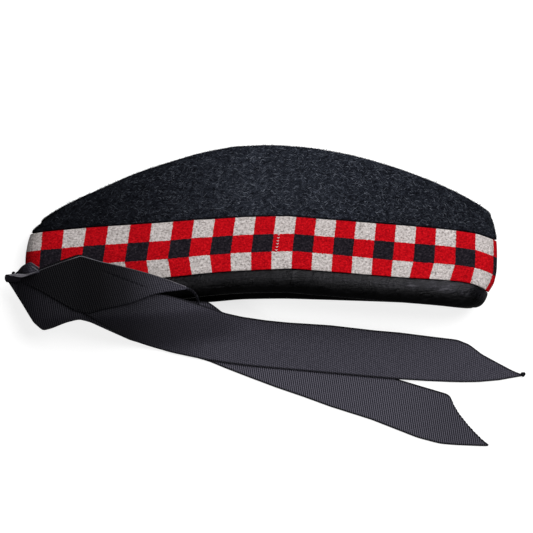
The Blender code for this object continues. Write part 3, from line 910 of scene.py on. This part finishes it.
def felt_outer_rings():
    """The felt's outer face from its edge at the rim over the ridge to the bottom of the crease."""
    phi = stations()
    foot = tape_edge(phi, "foot")
    top = tape_edge(phi, "top")
    squeeze = foot / BAND_FOOT
    rings = []
    for height in FELT_LOW_RINGS:
        rings.append(wall_point(phi, height * squeeze, felt_inset(np.full(len(phi), height))))
    hidden = np.full(len(phi), BAND_THICKNESS + GAP)
    for share in np.linspace(0.1, 1.0, FELT_RINGS_UNDER_TAPE - len(FELT_LOW_RINGS)):
        rings.append(wall_point(phi, foot + share * (top - foot), hidden))
    for share in np.linspace(0, 1, FELT_SWELL_RINGS + 1)[1:]:
        rings.append(wall_point(phi, top + GAP + share * FELT_SWELL, hidden * (1 - ease(share * 1.6))))
    above = top + GAP + FELT_SWELL
    for share in np.linspace(0, 1, FELT_WALL_RINGS + 1)[1:]:
        rings.append(outer_point(phi, above + share * (wall_height(phi) - above)))
    rings += [roll_point(phi, turn) for turn in np.linspace(0, pi, FELT_ROLL_RINGS + 1)[1:]]
    rings += [crease_point(phi, share) for share in np.linspace(0, 1, FELT_CREASE_RINGS + 1)[1:]]
    return np.array(rings)


def grid_normals(rings):
    """Outward normals of a grid whose rows are closed rings."""
    round_cap = np.roll(rings, -1, axis=1) - np.roll(rings, 1, axis=1)
    return unit(np.cross(round_cap, np.gradient(rings, axis=0)))


def crease_floor(first, count):
    """Faces that join the two sides of a closed ring across the bottom of the crease."""
    quads = [(i, i + 1, count - i - 1, count - i) for i in range(1, count // 2 - 1)]
    ends = [(0, 1, count - 1), (count // 2 - 1, count // 2, count // 2 + 1)]
    return [tuple(first + i for i in face) for face in quads + ends]


def felt_crown(material, outer, normals):
    pick = np.unique(np.linspace(0, len(outer) - 1, FELT_INNER_RINGS).astype(int))
    inner = (outer - FELT * normals)[pick]
    mottle = lattice_noise(outer, 0.0065, 1) * 0.5 + lattice_noise(outer, 0.0024, 2) * 0.5
    bare = ease((np.arange(len(outer)) - FELT_RINGS_UNDER_TAPE) / 8)[:, None]
    bare = bare * np.clip((outer[..., 2] - 0.001) / 0.002, 0.0, 1.0)
    outer = outer + normals * (mottle * bare * FELT_MOTTLE)[..., None]
    rows, count = outer.shape[:2]
    first_inner = rows * count
    faces = grid_faces(rows, count)
    faces += [face[::-1] for face in grid_faces(len(inner), count, first_inner)]
    for i in range(count):
        j = (i + 1) % count
        faces.append((i, first_inner + i, first_inner + j, j))
    faces += crease_floor((rows - 1) * count, count)
    faces += [face[::-1] for face in crease_floor(first_inner + (len(inner) - 1) * count, count)]
    points = np.concatenate([outer.reshape(-1, 3), inner.reshape(-1, 3)])
    placed(new_piece("felt_body", points, faces, material), "felt", "felt_crown")


def column_numbers(phi, x):
    """The dicing's column number, with its share: by x on the right side, else by length walked."""
    fine = np.linspace(0, 2 * pi, 2881)
    line = outer_point(fine, BAND_FOOT + BAND_HEIGHT / 2)
    walked = walked_length(np.linalg.norm(np.diff(line, axis=0), axis=1))
    on_right = fine <= pi
    knots = [(edge.along - 0.5) * CAP_LENGTH for edge in COLUMNS]
    at = np.interp(knots, line[on_right, 0], walked[on_right])
    rows = table("along column", *zip(at, [edge.column for edge in COLUMNS]))
    plain = np.interp(phi, fine, walked)
    straight = np.interp(x, line[on_right, 0], walked[on_right])
    share = along_share(phi)
    by_x = ease((1 - share) / BY_X_FROM[1]) * ease(share / BY_X_FROM[0]) * (phi < pi)
    here = plain + (straight - plain) * by_x
    before = np.minimum(here - at[0], 0.0) / at[0]
    after = np.maximum(here - at[-1], 0.0) / (walked[-1] - at[-1]) * LEFT_COLUMNS
    return smooth_column(rows, "along", "column", here) + before + after


def dicing_uv(phi, x, rows):
    """Columns across and rows up, with the lean of the columns."""
    share = along_share(phi)
    upper = smooth_column(LEAN, "along", "upper", share) * np.clip((3 - rows) / 2, 0.0, 1.0)
    lower = smooth_column(LEAN, "along", "lower", share) * np.clip(1 - rows, 0.0, 1.0)
    leaning = ease(1 + side_fullness(phi))
    lowered = MIDDLE_ROW_LOWERED * np.exp(-(((rows - 1) / 0.5) ** 2))
    lowered = lowered * ease((share - 0.6) / 0.2) * (phi < pi)
    return np.stack([column_numbers(phi, x) - (upper + lower) * leaning, rows + lowered], axis=-1)


def diced_band(material):
    seam = BAND_SEAM / 2 / (NOSE_HEIGHT * np.sqrt(NOSE_SQUARENESS / 2))
    phi = np.concatenate([[seam], stations()[1:], [2 * pi - seam]])
    lower_edge = [0.0, 0.004, 0.012, 0.03, 0.06]
    upper_edge = [0.94, 0.97, 0.988, 0.996, 1.0]
    across = np.concatenate([lower_edge, np.linspace(0.1, 0.9, 23), upper_edge])
    edge = np.minimum(across, 1 - across)
    rounded = 1 - np.sqrt(np.clip(1 - (1 - edge / BAND_EDGE_SHARE) ** 2, 0.0, 1.0))
    rounded = BAND_EDGE_ROUND * rounded * (edge < BAND_EDGE_SHARE)
    grid_phi, grid_across = np.meshgrid(phi, across, indexing="ij")
    foot = tape_edge(phi, "foot")[:, None]
    grid_height = foot + (tape_edge(phi, "top")[:, None] - foot) * grid_across
    outer = outer_point(grid_phi, grid_height)
    pucker = lattice_noise(outer * np.array([1.0, 0.6, 0.6]), 0.011, 5) * 0.7
    pucker += lattice_noise(outer, 0.004, 6) * 0.3
    top_side = np.clip(side_fullness(grid_phi) * 2, 0.0, 1.0)
    outer = wall_point(grid_phi, grid_height, rounded + (TAPE_SUNK + TAPE_PUCKER * pucker) * top_side)
    inner = wall_point(grid_phi, grid_height, BAND_THICKNESS)
    rings = np.concatenate([outer, inner[:, ::-1]], axis=1)
    uv = dicing_uv(grid_phi, outer[..., 0], 3 * grid_across)
    uv = np.concatenate([uv, uv[:, ::-1]], axis=1)
    piece = new_piece("diced_tape", rings, closed_faces(rings), material, UVMap=uv)
    placed(piece, "dicing", "diced_band")


def binding_outline():
    """Heights and depths round the section: the roll, the flap inside and the slot for the felt."""
    steps = np.linspace(0, len(ROLL) - 1, ROLL_STEPS)
    rows = table("at height depth", *((i, *point) for i, point in enumerate(ROLL)))
    height = smooth_column(rows, "at", "height", steps) * BINDING_HEIGHT
    depth = smooth_column(rows, "at", "depth", steps) * MM
    flap = np.append(np.array([0.25, 0.5, 0.70]) * BINDING_HEIGHT, BINDING_FLAP)
    flap_depth = felt_inset(flap) + FELT + 2 * GAP
    slot_foot = FELT_EDGE_HEIGHT - 2 * GAP
    slot = np.array([0.5, 0.9, 0.99]) * BINDING_HEIGHT
    height = np.concatenate([height, flap, flap[::-1], [slot_foot, slot_foot], slot])
    foot_depth = [BINDING_BULGE + 3 * GAP + FELT, BINDING_BULGE]
    flap_depths = [flap_depth + BINDING_LEATHER, flap_depth[::-1]]
    return height, np.concatenate([depth, *flap_depths, foot_depth, felt_inset(slot) - GAP])


def leather_binding(material):
    height, depth = binding_outline()
    phi = stations(ROLL_STATIONS)
    grid_phi, grid_height = np.meshgrid(phi, height, indexing="ij")
    grid_height = grid_height * (tape_edge(grid_phi, "foot") / BAND_FOOT)
    below = np.clip(-side_fullness(grid_phi) * 2.0, 0.0, 1.0)
    grid_depth = depth[None, :] - np.minimum(depth[None, :], 0.0) * below
    where = outer_point(grid_phi, grid_height)
    crinkle = lattice_noise(where * np.array([1.0, 0.35, 0.35]), 0.0038, 8)
    crinkle = crinkle * 0.5 + 0.5 * lattice_noise(where * np.array([1.0, 0.5, 0.5]), 0.010, 9)
    on_roll = (np.arange(len(height)) < CRINKLED_STEPS)[None, :]
    grid_depth = grid_depth + crinkle * LEATHER_CRINKLE * on_roll * (1 - below)
    rings = wall_point(grid_phi, grid_height, grid_depth)
    down = walked_length(np.hypot(np.diff(height), np.diff(depth)))
    steps = np.linalg.norm(np.diff(rings[:, 20], axis=0, append=rings[:1, 20]), axis=1)
    uv = np.stack(np.broadcast_arrays(np.cumsum(steps)[:, None], down[None, :]), axis=-1)
    rows, count = rings.shape[:2]
    faces = grid_faces(rows + 1, count)
    faces = [[corner % (rows * count) for corner in face] for face in faces]
    piece = new_piece("leather_roll", rings, faces, material, UVMap=uv)
    placed(piece, "leather", "leather_binding")


def cap_top_points():
    phi, height = np.meshgrid(np.arange(1, 128) * pi / 128, np.linspace(0, BAND_TOP, 36))
    return outer_point(phi.ravel(), height.ravel())


CAP_TOP = cap_top_points()


def drape_height(x, y, layer):
    """Height of a ribbon's underside: it lies on the cap, falls off its edge and reaches the floor."""
    flat_x, flat_y = x.ravel(), y.ravel()
    lying = np.zeros(len(flat_x))
    for start in range(0, len(flat_x), 500):
        part = slice(start, start + 500)
        behind = CAP_TOP[None, :, 0] - flat_x[part, None]
        behind = np.where(behind > 0, behind * BACK_STEEPER, behind)
        distance = np.hypot(behind, CAP_TOP[None, :, 1] - flat_y[part, None])
        away = ease((distance - DRAPE_STIFFNESS * (1 + layer / 2)) / DRAPE_REACH)
        lying[part] = (CAP_TOP[None, :, 2] * (1 - away)).max(axis=1)
    from_back = flat_x + CAP_LENGTH / 2 - layer * UPPER_TAIL_LAG
    lying = lying * (1 - ease((from_back - LEAVES_CAP) / (REACHES_FLOOR - LEAVES_CAP)))
    return lying.reshape(x.shape)


def lying_height(x, y, layer):
    """Height of the middle of a ribbon: the first layer, the second over it, or the flap on both."""
    under = drape_height(x, y, min(layer, 1))
    under = under + np.minimum(under, GAP)
    if layer:
        apart = ease((x + CAP_LENGTH / 2 - TAILS_PART) / (TAILS_APART - TAILS_PART))
        under = under + (1 - apart) * (RIBBON_THICKNESS + np.minimum(under, GAP))
    if layer > 1:
        under = under + (RIBBON_CLOTH + GAP) * ease((x + FLAP_DOUBLES) / FLAP_DOUBLES_OVER)
    return under + RIBBON_THICKNESS / 2


def section_edges(rows, count, soft):
    """The two edges of a ribbon in the photograph's pixels, softened where sections meet."""
    edges = np.array(rows, float)
    steps = np.hypot(np.diff(edges[:, 0] + edges[:, 2]), np.diff(edges[:, 1] + edges[:, 3]))
    places = walked_length(steps)
    at = np.linspace(0.0, places[-1], count)
    fine = np.stack([np.interp(at, places, edges[:, i]) for i in range(4)], axis=-1)
    before = 2 * fine[:1] - fine[soft:0:-1]
    after = 2 * fine[-1:] - fine[-2 : -soft - 2 : -1]
    padded = np.concatenate([before, fine, after])
    kernel = np.hanning(2 * soft + 3)[1:-1]
    kernel /= kernel.sum()
    return np.stack([np.convolve(padded[:, i], kernel, "valid") for i in range(4)], axis=-1)


def ribbon_surface(rows, mesh, height_of, soft=3, cut_column=None):
    """Middle surface of a ribbon whose edges follow the photograph and whose height is given.

    From cut_column on, its upper edge is a cut end with small steps where the threads end.
    """
    edges = section_edges(rows, mesh[0], soft)
    if cut_column:
        cut = ease((edges[:, 0] - cut_column) / 4) * ease((edges[-1, 0] - edges[:, 0]) / 6)
        edges[:, 0] -= CUT_STEP_DEPTH * cut * ((edges[:, 1] / CUT_STEP) % 1.0)
    share = np.linspace(0, 1, mesh[1])[None, :]
    column = edges[:, :1] + (edges[:, 2:3] - edges[:, :1]) * share
    row = edges[:, 1:2] + (edges[:, 3:4] - edges[:, 1:2]) * share
    z = np.full(column.shape, NOSE_HEIGHT)
    for _ in range(3):
        x, y = from_picture(column, row, z)
        z = height_of(x, y, column, row)
    return np.stack([x, y, z], axis=-1)


def from_selvedge(middle):
    """Metres from the nearer selvedge."""
    walked = walked_length(np.linalg.norm(np.diff(middle, axis=1), axis=-1))
    return np.minimum(walked, walked[:, -1:] - walked)


def cloth_rings(middle):
    """Closed rings round a middle surface, with beaded selvedges along both edges."""
    normal = unit(np.cross(np.gradient(middle, axis=0), np.gradient(middle, axis=1)))
    bead = 1 + SELVEDGE_BEAD * np.exp(-((from_selvedge(middle) / SELVEDGE_WIDTH) ** 2))
    half = (RIBBON_CLOTH / 2 * bead)[..., None]
    first = middle[:, :1] + unit(middle[:, :1] - middle[:, 1:2]) * half[:, :1]
    last = middle[:, -1:] + unit(middle[:, -1:] - middle[:, -2:-1]) * half[:, -1:]
    top = middle - normal * half
    low = middle + normal * half
    return np.concatenate([top, last, low[:, ::-1], first], axis=1)


def ring_uv(u, v):
    """A UV map for the rings of cloth_rings from numbers on the middle surface."""
    uv = np.stack([u, v], axis=-1)
    return np.concatenate([uv, uv[:, -1:], uv[:, ::-1], uv[:, :1]], axis=1).reshape(-1, 2)


def rib_uv(middle, lean):
    """Rib coordinates in metres: along each rib, and from rib to rib; lean turns the ribs."""
    turn = np.radians(lean)
    x, y = middle[..., 0], middle[..., 1]
    return ring_uv(y * np.cos(turn) - x * np.sin(turn), x * np.cos(turn) + y * np.sin(turn))


def edge_uv(middle):
    """Millimetres from the nearer selvedge."""
    inwards = from_selvedge(middle) / MM
    return ring_uv(inwards, inwards * 0)


def joined(all_rings):
    """Points and faces of several closed bodies of rings."""
    faces, first = [], 0
    for rings in all_rings:
        faces += closed_faces(rings, first)
        first += rings.shape[0] * rings.shape[1]
    return np.concatenate([rings.reshape(-1, 3) for rings in all_rings]), faces


def cloth_piece(name, surfaces, material):
    """One object of closed sheets of cloth, each given by its middle surface and its ribs' lean."""
    points, faces = joined([cloth_rings(middle) for middle, _ in surfaces])
    ribs = np.concatenate([rib_uv(middle, lean) for middle, lean in surfaces])
    edges = np.concatenate([edge_uv(middle) for middle, _ in surfaces])
    return new_piece(name, points, faces, material, UVMap=ribs, FromEdge=edges)


def root_height(z, column, row, root):
    """Near the gather the ribbon is held up at the height of its root."""
    held = ease((HELD_FROM[0] - column) / HELD_OVER[0]) * ease((HELD_FROM[1] - row) / HELD_OVER[1])
    return z + np.maximum(root - z, 0.0) * held


def flap_height(x, y, column, row):
    """The flap lies on the cap, and its folded lower edge stands clear of the layer below."""
    fold_row = straight_column(FOLD_ROWS, column)
    top_row = straight_column(TOP_ROWS, column)
    near_fold = 1 - np.clip((fold_row - row) / np.maximum(fold_row - top_row, 6.0), 0.0, 1.0)
    (start, start_row), (end, end_row) = CREASE_ENDS
    crease_row = start_row + (column - start) * (end_row - start_row) / (end - start)
    crease = np.exp(-((row - crease_row) ** 2)) * straight_column(CREASE_SHARES, column)
    crease = crease * (0.7 + 0.3 * np.sin(column * 1.3))
    z = lying_height(x, y, 2) + straight_column(STANDS_CLEAR, column) * near_fold**1.5
    return root_height(z - FLAP_CREASE_DEPTH * crease, column, row, FLAP_ROOT)


def underlayer_height(x, y, column, row):
    return lying_height(x, y, 1) - UNDERLAYER_LOWER


def tail_height(x, y, column, row):
    wave = np.sin((column * RIPPLE_SLANT[0] + row * RIPPLE_SLANT[1]) / RIPPLE_PIXELS)
    return lying_height(x, y, 1) + RIPPLE * (1 + wave * straight_column(RIPPLE_SHARES, column))


def lower_height(x, y, column, row):
    return root_height(lying_height(x, y, 0), column, row, LOWER_ROOT)


def grid_shares(grid):
    """Shares from 0 to 1 along a grid and across it."""
    rows, columns = grid.shape
    return np.linspace(0, 1, rows)[:, None], np.linspace(0, 1, columns)[None, :]


def turn_height(x, y, column, row):
    """The pleat's rolled right end drops from the flap's tip to the layer under it."""
    along, across = grid_shares(column)
    rise = (RIBBON_CLOTH + GAP + PLEAT_RISE) * (1 - 0.75 * along) * (1 - 0.8 * across)
    return lying_height(x, y, 1) + rise


def loop_height(x, y, column, row):
    """The gather's loop rises from its root and arches a little across."""
    along, across = grid_shares(column)
    base = LOOP_ROOT + LOOP_RISE * ease(along * 1.6)
    return base + LOOP_ARCH * np.sin(pi * across) * np.sin(pi * along) + LOOP_TILT * across


def inner_loop_height(x, y, column, row):
    return loop_height(x, y, column, row) + LOOPS_APART


def fold_lip(flap):
    """The flap's lower edge turned under: a half round and a short way back below."""
    edge = flap[:, -1]
    reach = np.minimum(LIP_REACH, 0.6 * np.linalg.norm(edge - flap[:, 0], axis=-1))[:, None, None]
    out = unit((edge - flap[:, -3]) * np.array([1.0, 1.0, 0.0]))
    up = np.array([0.0, 0.0, 1.0])
    radius = np.minimum(LIP_RADIUS, 0.3 * reach)
    turns = np.linspace(0, pi, 9)[None, :, None]
    round_part = edge[:, None] + radius * (np.sin(turns) * out[:, None] - (1 - np.cos(turns)) * up)
    back = np.linspace(0, 1, 5)[1:][None, :, None]
    back_part = edge[:, None] - 2 * radius * up - out[:, None] * reach * back
    return np.concatenate([round_part, back_part], axis=1)


def lower_ribbon(material):
    tail = ribbon_surface(LOWER_TAIL, LOWER_TAIL_MESH, lower_height, 5, LOWER_CUT_COLUMN)
    piece = cloth_piece("ribbon_lower_tail", [(tail, LOWER_TAIL_LEAN)], material)
    placed(piece, "ribbon", "ribbon_lower")


def upper_ribbon(material, flap_material, selvedge_highlight_material, knot):
    flap = ribbon_surface(UPPER_FLAP, FLAP_MESH, flap_height)
    # A pale thread along the flap's top selvedge: a painted highlight line
    edge = flap[SELVEDGE_FIRST:-3, 0] + np.array(SELVEDGE_LIFT)
    thread = tube(edge, np.full(len(edge), SELVEDGE_RADIUS), 8)
    selvedge = placed(tubes_piece("flap_selvedge_highlight", [thread], selvedge_highlight_material), "ribbon")
    leaning = [
        flap,
        fold_lip(flap[LIP_FIRST:-3]),
        ribbon_surface(FLAP_UNDERLAYER, UNDERLAYER_MESH, underlayer_height),
    ]
    surfaces = [(middle, FLAP_LEAN) for middle in leaning]
    surfaces.append((ribbon_surface(PLEAT_TURN, TURN_MESH, turn_height), 0.0))
    flap_piece = placed(cloth_piece("ribbon_upper_flap", surfaces, flap_material), "ribbon")
    tail = ribbon_surface(UPPER_TAIL, UPPER_TAIL_MESH, tail_height)
    piece = cloth_piece("ribbon_upper_tail", [(tail, UPPER_TAIL_LEAN)], material)
    placed(piece, "ribbon", "ribbon_upper")


def tube(points, radii, sides, wobble=0.0, seed=0):
    """Rings round a path of points, with a radius for each."""
    along = unit(np.gradient(points, axis=0))
    side = unit(np.cross(along, [0.0, 0.0, 1.0]))
    up = np.cross(side, along)
    turn = np.linspace(0, 2 * pi, sides, endpoint=False)[None, :, None]
    rings = side[:, None] * np.cos(turn) + up[:, None] * np.sin(turn)
    grid = points[:, None] + rings * radii[:, None, None]
    if wobble:
        grid = grid + rings * (wobble * lattice_noise(grid, 0.0016, seed))[..., None]
    return grid


def tubes_piece(name, tubes, material):
    points, faces = joined(tubes)
    return new_piece(name, points, faces, material, UVMap=points[:, :2])


def fold_tube(fold):
    """A round fold along pixels of the photograph, with rounded ends."""
    rows = table("step column row z", *((i, *spot) for i, spot in enumerate(fold.spots)))
    at = np.linspace(0, len(rows) - 1, fold.count)
    column, row, z = (smooth_column(rows, "step", name, at) for name in ("column", "row", "z"))
    path = np.stack([*from_picture(column, row, z), z], axis=-1)
    share = np.linspace(0, 1, fold.count)
    radius = np.interp(share, np.linspace(0, 1, len(fold.radii)), fold.radii)
    near_end = 1 - np.minimum(share, 1 - share) * fold.count / 4
    ends = np.sqrt(np.clip(1 - near_end.clip(0, 1) ** 2, 0.02, 1))
    return tube(path, radius * ends, fold.sides, fold.wobble, fold.seed)


def ribbon_gather(material, fold_material, highlight_fold_material, rim_highlight_material, knot_material):
    """The bunched root of the ribbons behind the cap: a nub, a folded loop, a pale fold whose colour is a
    painted highlight, and pale rims on the loop as painted highlight lines.
    """
    folds = placed(
        tubes_piece("ribbon_gather_folds", [fold_tube(NUB), fold_tube(CORE)], fold_material),
        "ribbon",
        "ribbon_gather",
    )
    # Painted highlights: the pale fold and the pale rims along the loop
    lip = tubes_piece("ribbon_gather_lip", [fold_tube(LIP)], highlight_fold_material)
    rims = tubes_piece("ribbon_gather_rims", [fold_tube(RIM_FOLD), fold_tube(INNER_RIM)], rim_highlight_material)
    dot = tubes_piece("ribbon_gather_dot", [fold_tube(DOT)], knot_material)
    outer = ribbon_surface(GATHER_LOOP, LOOP_MESH, loop_height, 2)
    inner = ribbon_surface(GATHER_LOOP_INNER, LOOP_MESH, inner_loop_height, 2)
    loop = cloth_piece("ribbon_gather_loop", [(outer, LOOP_LEAN), (inner, LOOP_LEAN)], material)
    return [folds] + [placed(piece, "ribbon") for piece in (lip, rims, dot, loop)]


def tip_knot(material):
    """A small knot of thread at the upper tail's point."""
    turn = np.linspace(0, 2 * pi, 61)
    x, y = from_picture(*KNOT_PIXEL, KNOT_HEIGHT)
    loop = np.stack(
        [
            x + KNOT_SIZE * (np.sin(turn) + 1.5 * np.sin(2 * turn)),
            y + KNOT_SIZE * (np.cos(turn) - 1.5 * np.cos(2 * turn)),
            KNOT_HEIGHT + KNOT_SIZE * 0.9 * np.sin(3 * turn),
        ],
        axis=-1,
    )
    thread = tube(loop, np.full(len(loop), KNOT_THREAD), 12)
    return placed(tubes_piece("tail_tip_knot", [thread], material), "ribbon")


def stitches(material):
    """A short column of little thread chevrons down one red square of the middle row."""
    tubes = []
    at = np.linspace(0, 2, 9)
    radii = STITCH_RADIUS * np.sqrt(np.sin(pi * np.linspace(0.08, 0.92, 9)))
    for i in range(STITCHES):
        spots = np.array(STITCH_CHEVRON) + np.array(STITCH_FIRST) + i * np.array(STITCH_STEP)
        x, y = from_picture(spots[:, 0], spots[:, 1], MIDDLE_THICKNESS)
        phi = np.arccos(np.clip(-2 * x / CAP_LENGTH, -1, 1))
        flat = wall_point(phi, y - rim_line(phi), np.full(3, -STITCH_LIFT))
        path = np.stack([np.interp(at, [0, 1, 2], flat[:, k]) for k in range(3)], axis=-1)
        path[:, 2] += STITCH_ARCH * np.sin(at / 2 * pi)
        tubes.append(tube(path, radii, 6))
    placed(tubes_piece("tape_stitches", tubes, material), "dicing")


def felt_nap(material, outer, normals):
    """Short curved fibres laid over the felt, each a narrow flat strip with its own tone."""
    chance = np.random.default_rng(4)
    rows, count = outer.shape[:2]
    bare_rows = np.arange(FELT_RINGS_UNDER_TAPE + 2, rows - NAP_ENDS_IN_CREASE)
    r, c = (part.ravel() for part in np.meshgrid(bare_rows, np.arange(count), indexing="ij"))
    corner = outer[r, c]
    along = outer[r, (c + 1) % count] - corner
    across = outer[r + 1, c] - corner
    area = np.linalg.norm(np.cross(along, across), axis=-1)
    weight = area * ((corner[:, 2] > 0.0012) & (normals[r, c, 2] > -0.35))
    pick = chance.choice(len(weight), NAP_FIBRES, p=weight / weight.sum())
    u, v = chance.random((2, NAP_FIBRES, 1))
    root = corner[pick] + u * along[pick] + v * across[pick]
    up = normals[r[pick], c[pick]]
    forwards = unit(along[pick])
    forwards = forwards * np.sign(forwards[:, :1] + 1e-9)
    sideways = np.cross(up, forwards)
    sway = 0.2 * lattice_noise(root, 0.022, 21) + 0.5 * lattice_noise(root, 0.005, 22)
    angle = sway + chance.normal(0, NAP_SPREAD, NAP_FIBRES)
    short = (up[:, 1] > 0.5) | (r[pick] < FELT_RINGS_UNDER_TAPE + NAP_RINGS_BY_TAPE)
    length = chance.uniform(*NAP_LENGTH, NAP_FIBRES) * np.where(short, NAP_SHORT, 1.0)
    bend = chance.normal(0, NAP_CURL, NAP_FIBRES)
    width = chance.uniform(*NAP_WIDTH, NAP_FIBRES)
    tone = chance.normal(*NAP_TONE, NAP_FIBRES) + 0.03 * lattice_noise(root, 0.012, 23)
    lift = chance.uniform(*NAP_LIFT, NAP_FIBRES)
    points = []
    spot = root
    for part, rise, half in NAP_STEPS:
        heading = angle + bend * (part - 0.5)
        direction = forwards * np.cos(heading)[:, None] + sideways * np.sin(heading)[:, None]
        if part:
            spot = spot + direction * (length * NAP_STEP)[:, None]
        lifted = spot + up * (lift * rise)[:, None]
        sides = np.cross(up, direction) * (width * half)[:, None]
        points += [lifted + sides, lifted - sides] if half else [lifted]
    base = np.arange(NAP_FIBRES)[:, None] * 6
    faces = np.concatenate([base + [0, 2, 1], base + [3, 4, 5]]).tolist()
    faces += (base + [1, 2, 4, 3]).tolist()
    uv = np.stack([np.clip(tone, 0, 1), chance.random(NAP_FIBRES)], axis=-1).repeat(6, axis=0)
    placed(new_piece("felt_nap", np.stack(points, axis=1), faces, material, UVMap=uv), "felt")


def make_camera():
    """Straight above the cap, framed as the photograph is."""
    data = bpy.data.cameras.new("camera")
    data.sensor_width = SENSOR
    data.lens = SENSOR * CAMERA_HEIGHT / (PICTURE_PIXELS * PIXEL_ON_FLOOR)
    data.clip_start = 0.05
    data.clip_end = 20.0
    camera = linked("camera", data)
    camera.location = (PICTURE_X + SHIFT[0], PICTURE_Y + SHIFT[1], CAMERA_HEIGHT)
    bpy.context.scene.camera = camera


def area_light(name, place, power, size):
    """A round soft light that shines on the cap's middle."""
    data = bpy.data.lights.new(name, "AREA")
    data.energy = power
    data.shape = "DISK"
    data.size = size
    light = linked(name, data)
    light.location = place
    track = light.constraints.new("TRACK_TO")
    track.target = linked(name + "_aim", None)
    track.track_axis = "TRACK_NEGATIVE_Z"
    track.up_axis = "UP_Y"
    return light


def make_stage():
    """A pale floor, an even white surround and soft lights from the top right of the picture."""
    s = Shader("pale floor")
    s.set(Base_Color=FLOOR_TONE, Roughness=0.9, Specular_IOR_Level=0.0)
    s.set(Emission_Color=WHITE, Emission_Strength=FLOOR_GLOW)
    mesh = bpy.data.meshes.new("floor")
    corners = [(x * FLOOR_REACH, y * FLOOR_REACH, 0) for x, y in ((-1, -1), (1, -1), (1, 1), (-1, 1))]
    mesh.from_pydata(corners, [], [(0, 1, 2, 3)])
    mesh.materials.append(s.material)
    floor = linked("floor", mesh)
    floor.location.z = -GAP
    floor.visible_glossy = False
    floor.visible_diffuse = False
    world = bpy.data.worlds.new("surround")
    world.use_nodes = True
    surround = world.node_tree.nodes["Background"]
    surround.inputs["Color"].default_value = WHITE
    surround.inputs["Strength"].default_value = SURROUND
    bpy.context.scene.world = world
    area_light("key", *KEY_LIGHT)
    fill = area_light("fill", *FILL_LIGHT)
    fill.visible_glossy = False
    bpy.context.scene.view_settings.view_transform = "Standard"


make_stage()
make_camera()
felt_rings = felt_outer_rings()
felt_normals = grid_normals(felt_rings)
felt_crown(felt_material(), felt_rings, felt_normals)
felt_nap(nap_material(), felt_rings, felt_normals)
diced_band(dicing_material())
leather_binding(leather_material())
stitches(thread_material("pale thread", (0.75, 0.68, 0.66)))
black_thread = thread_material("black thread", (0.006, 0.006, 0.008))
lower_ribbon(ribbon_material("lower grosgrain", LOWER_SHADES, 0.48, 0.08, 0.22))
gather = ribbon_gather(
    # The loop's selvedges get a painted highlight; the pale fold and the rims below are painted
    # highlights
    ribbon_material("gathered grosgrain", EVEN_SHADES, 0.10, 0.10, 1.2),
    thread_material("dark fold", (0.009, 0.008, 0.011)),
    thread_material("pale fold highlight", (0.25, 0.24, 0.27), FOLD_HIGHLIGHT_SHADES),
    thread_material("fold rim highlight", (0.105, 0.102, 0.118)),
    black_thread,
)
upper_ribbon(
    ribbon_material("upper grosgrain", UPPER_SHADES, 0.20, 0.12, 0.30),
    ribbon_material("pleated grosgrain", FLAP_SHADES, 0.30, 0.09, 1.0),
    # Painted highlight: the pale thread along the flap's selvedge
    thread_material("selvedge", (0.16, 0.155, 0.175), SELVEDGE_HIGHLIGHT_SHADES),
    tip_knot(black_thread),
)
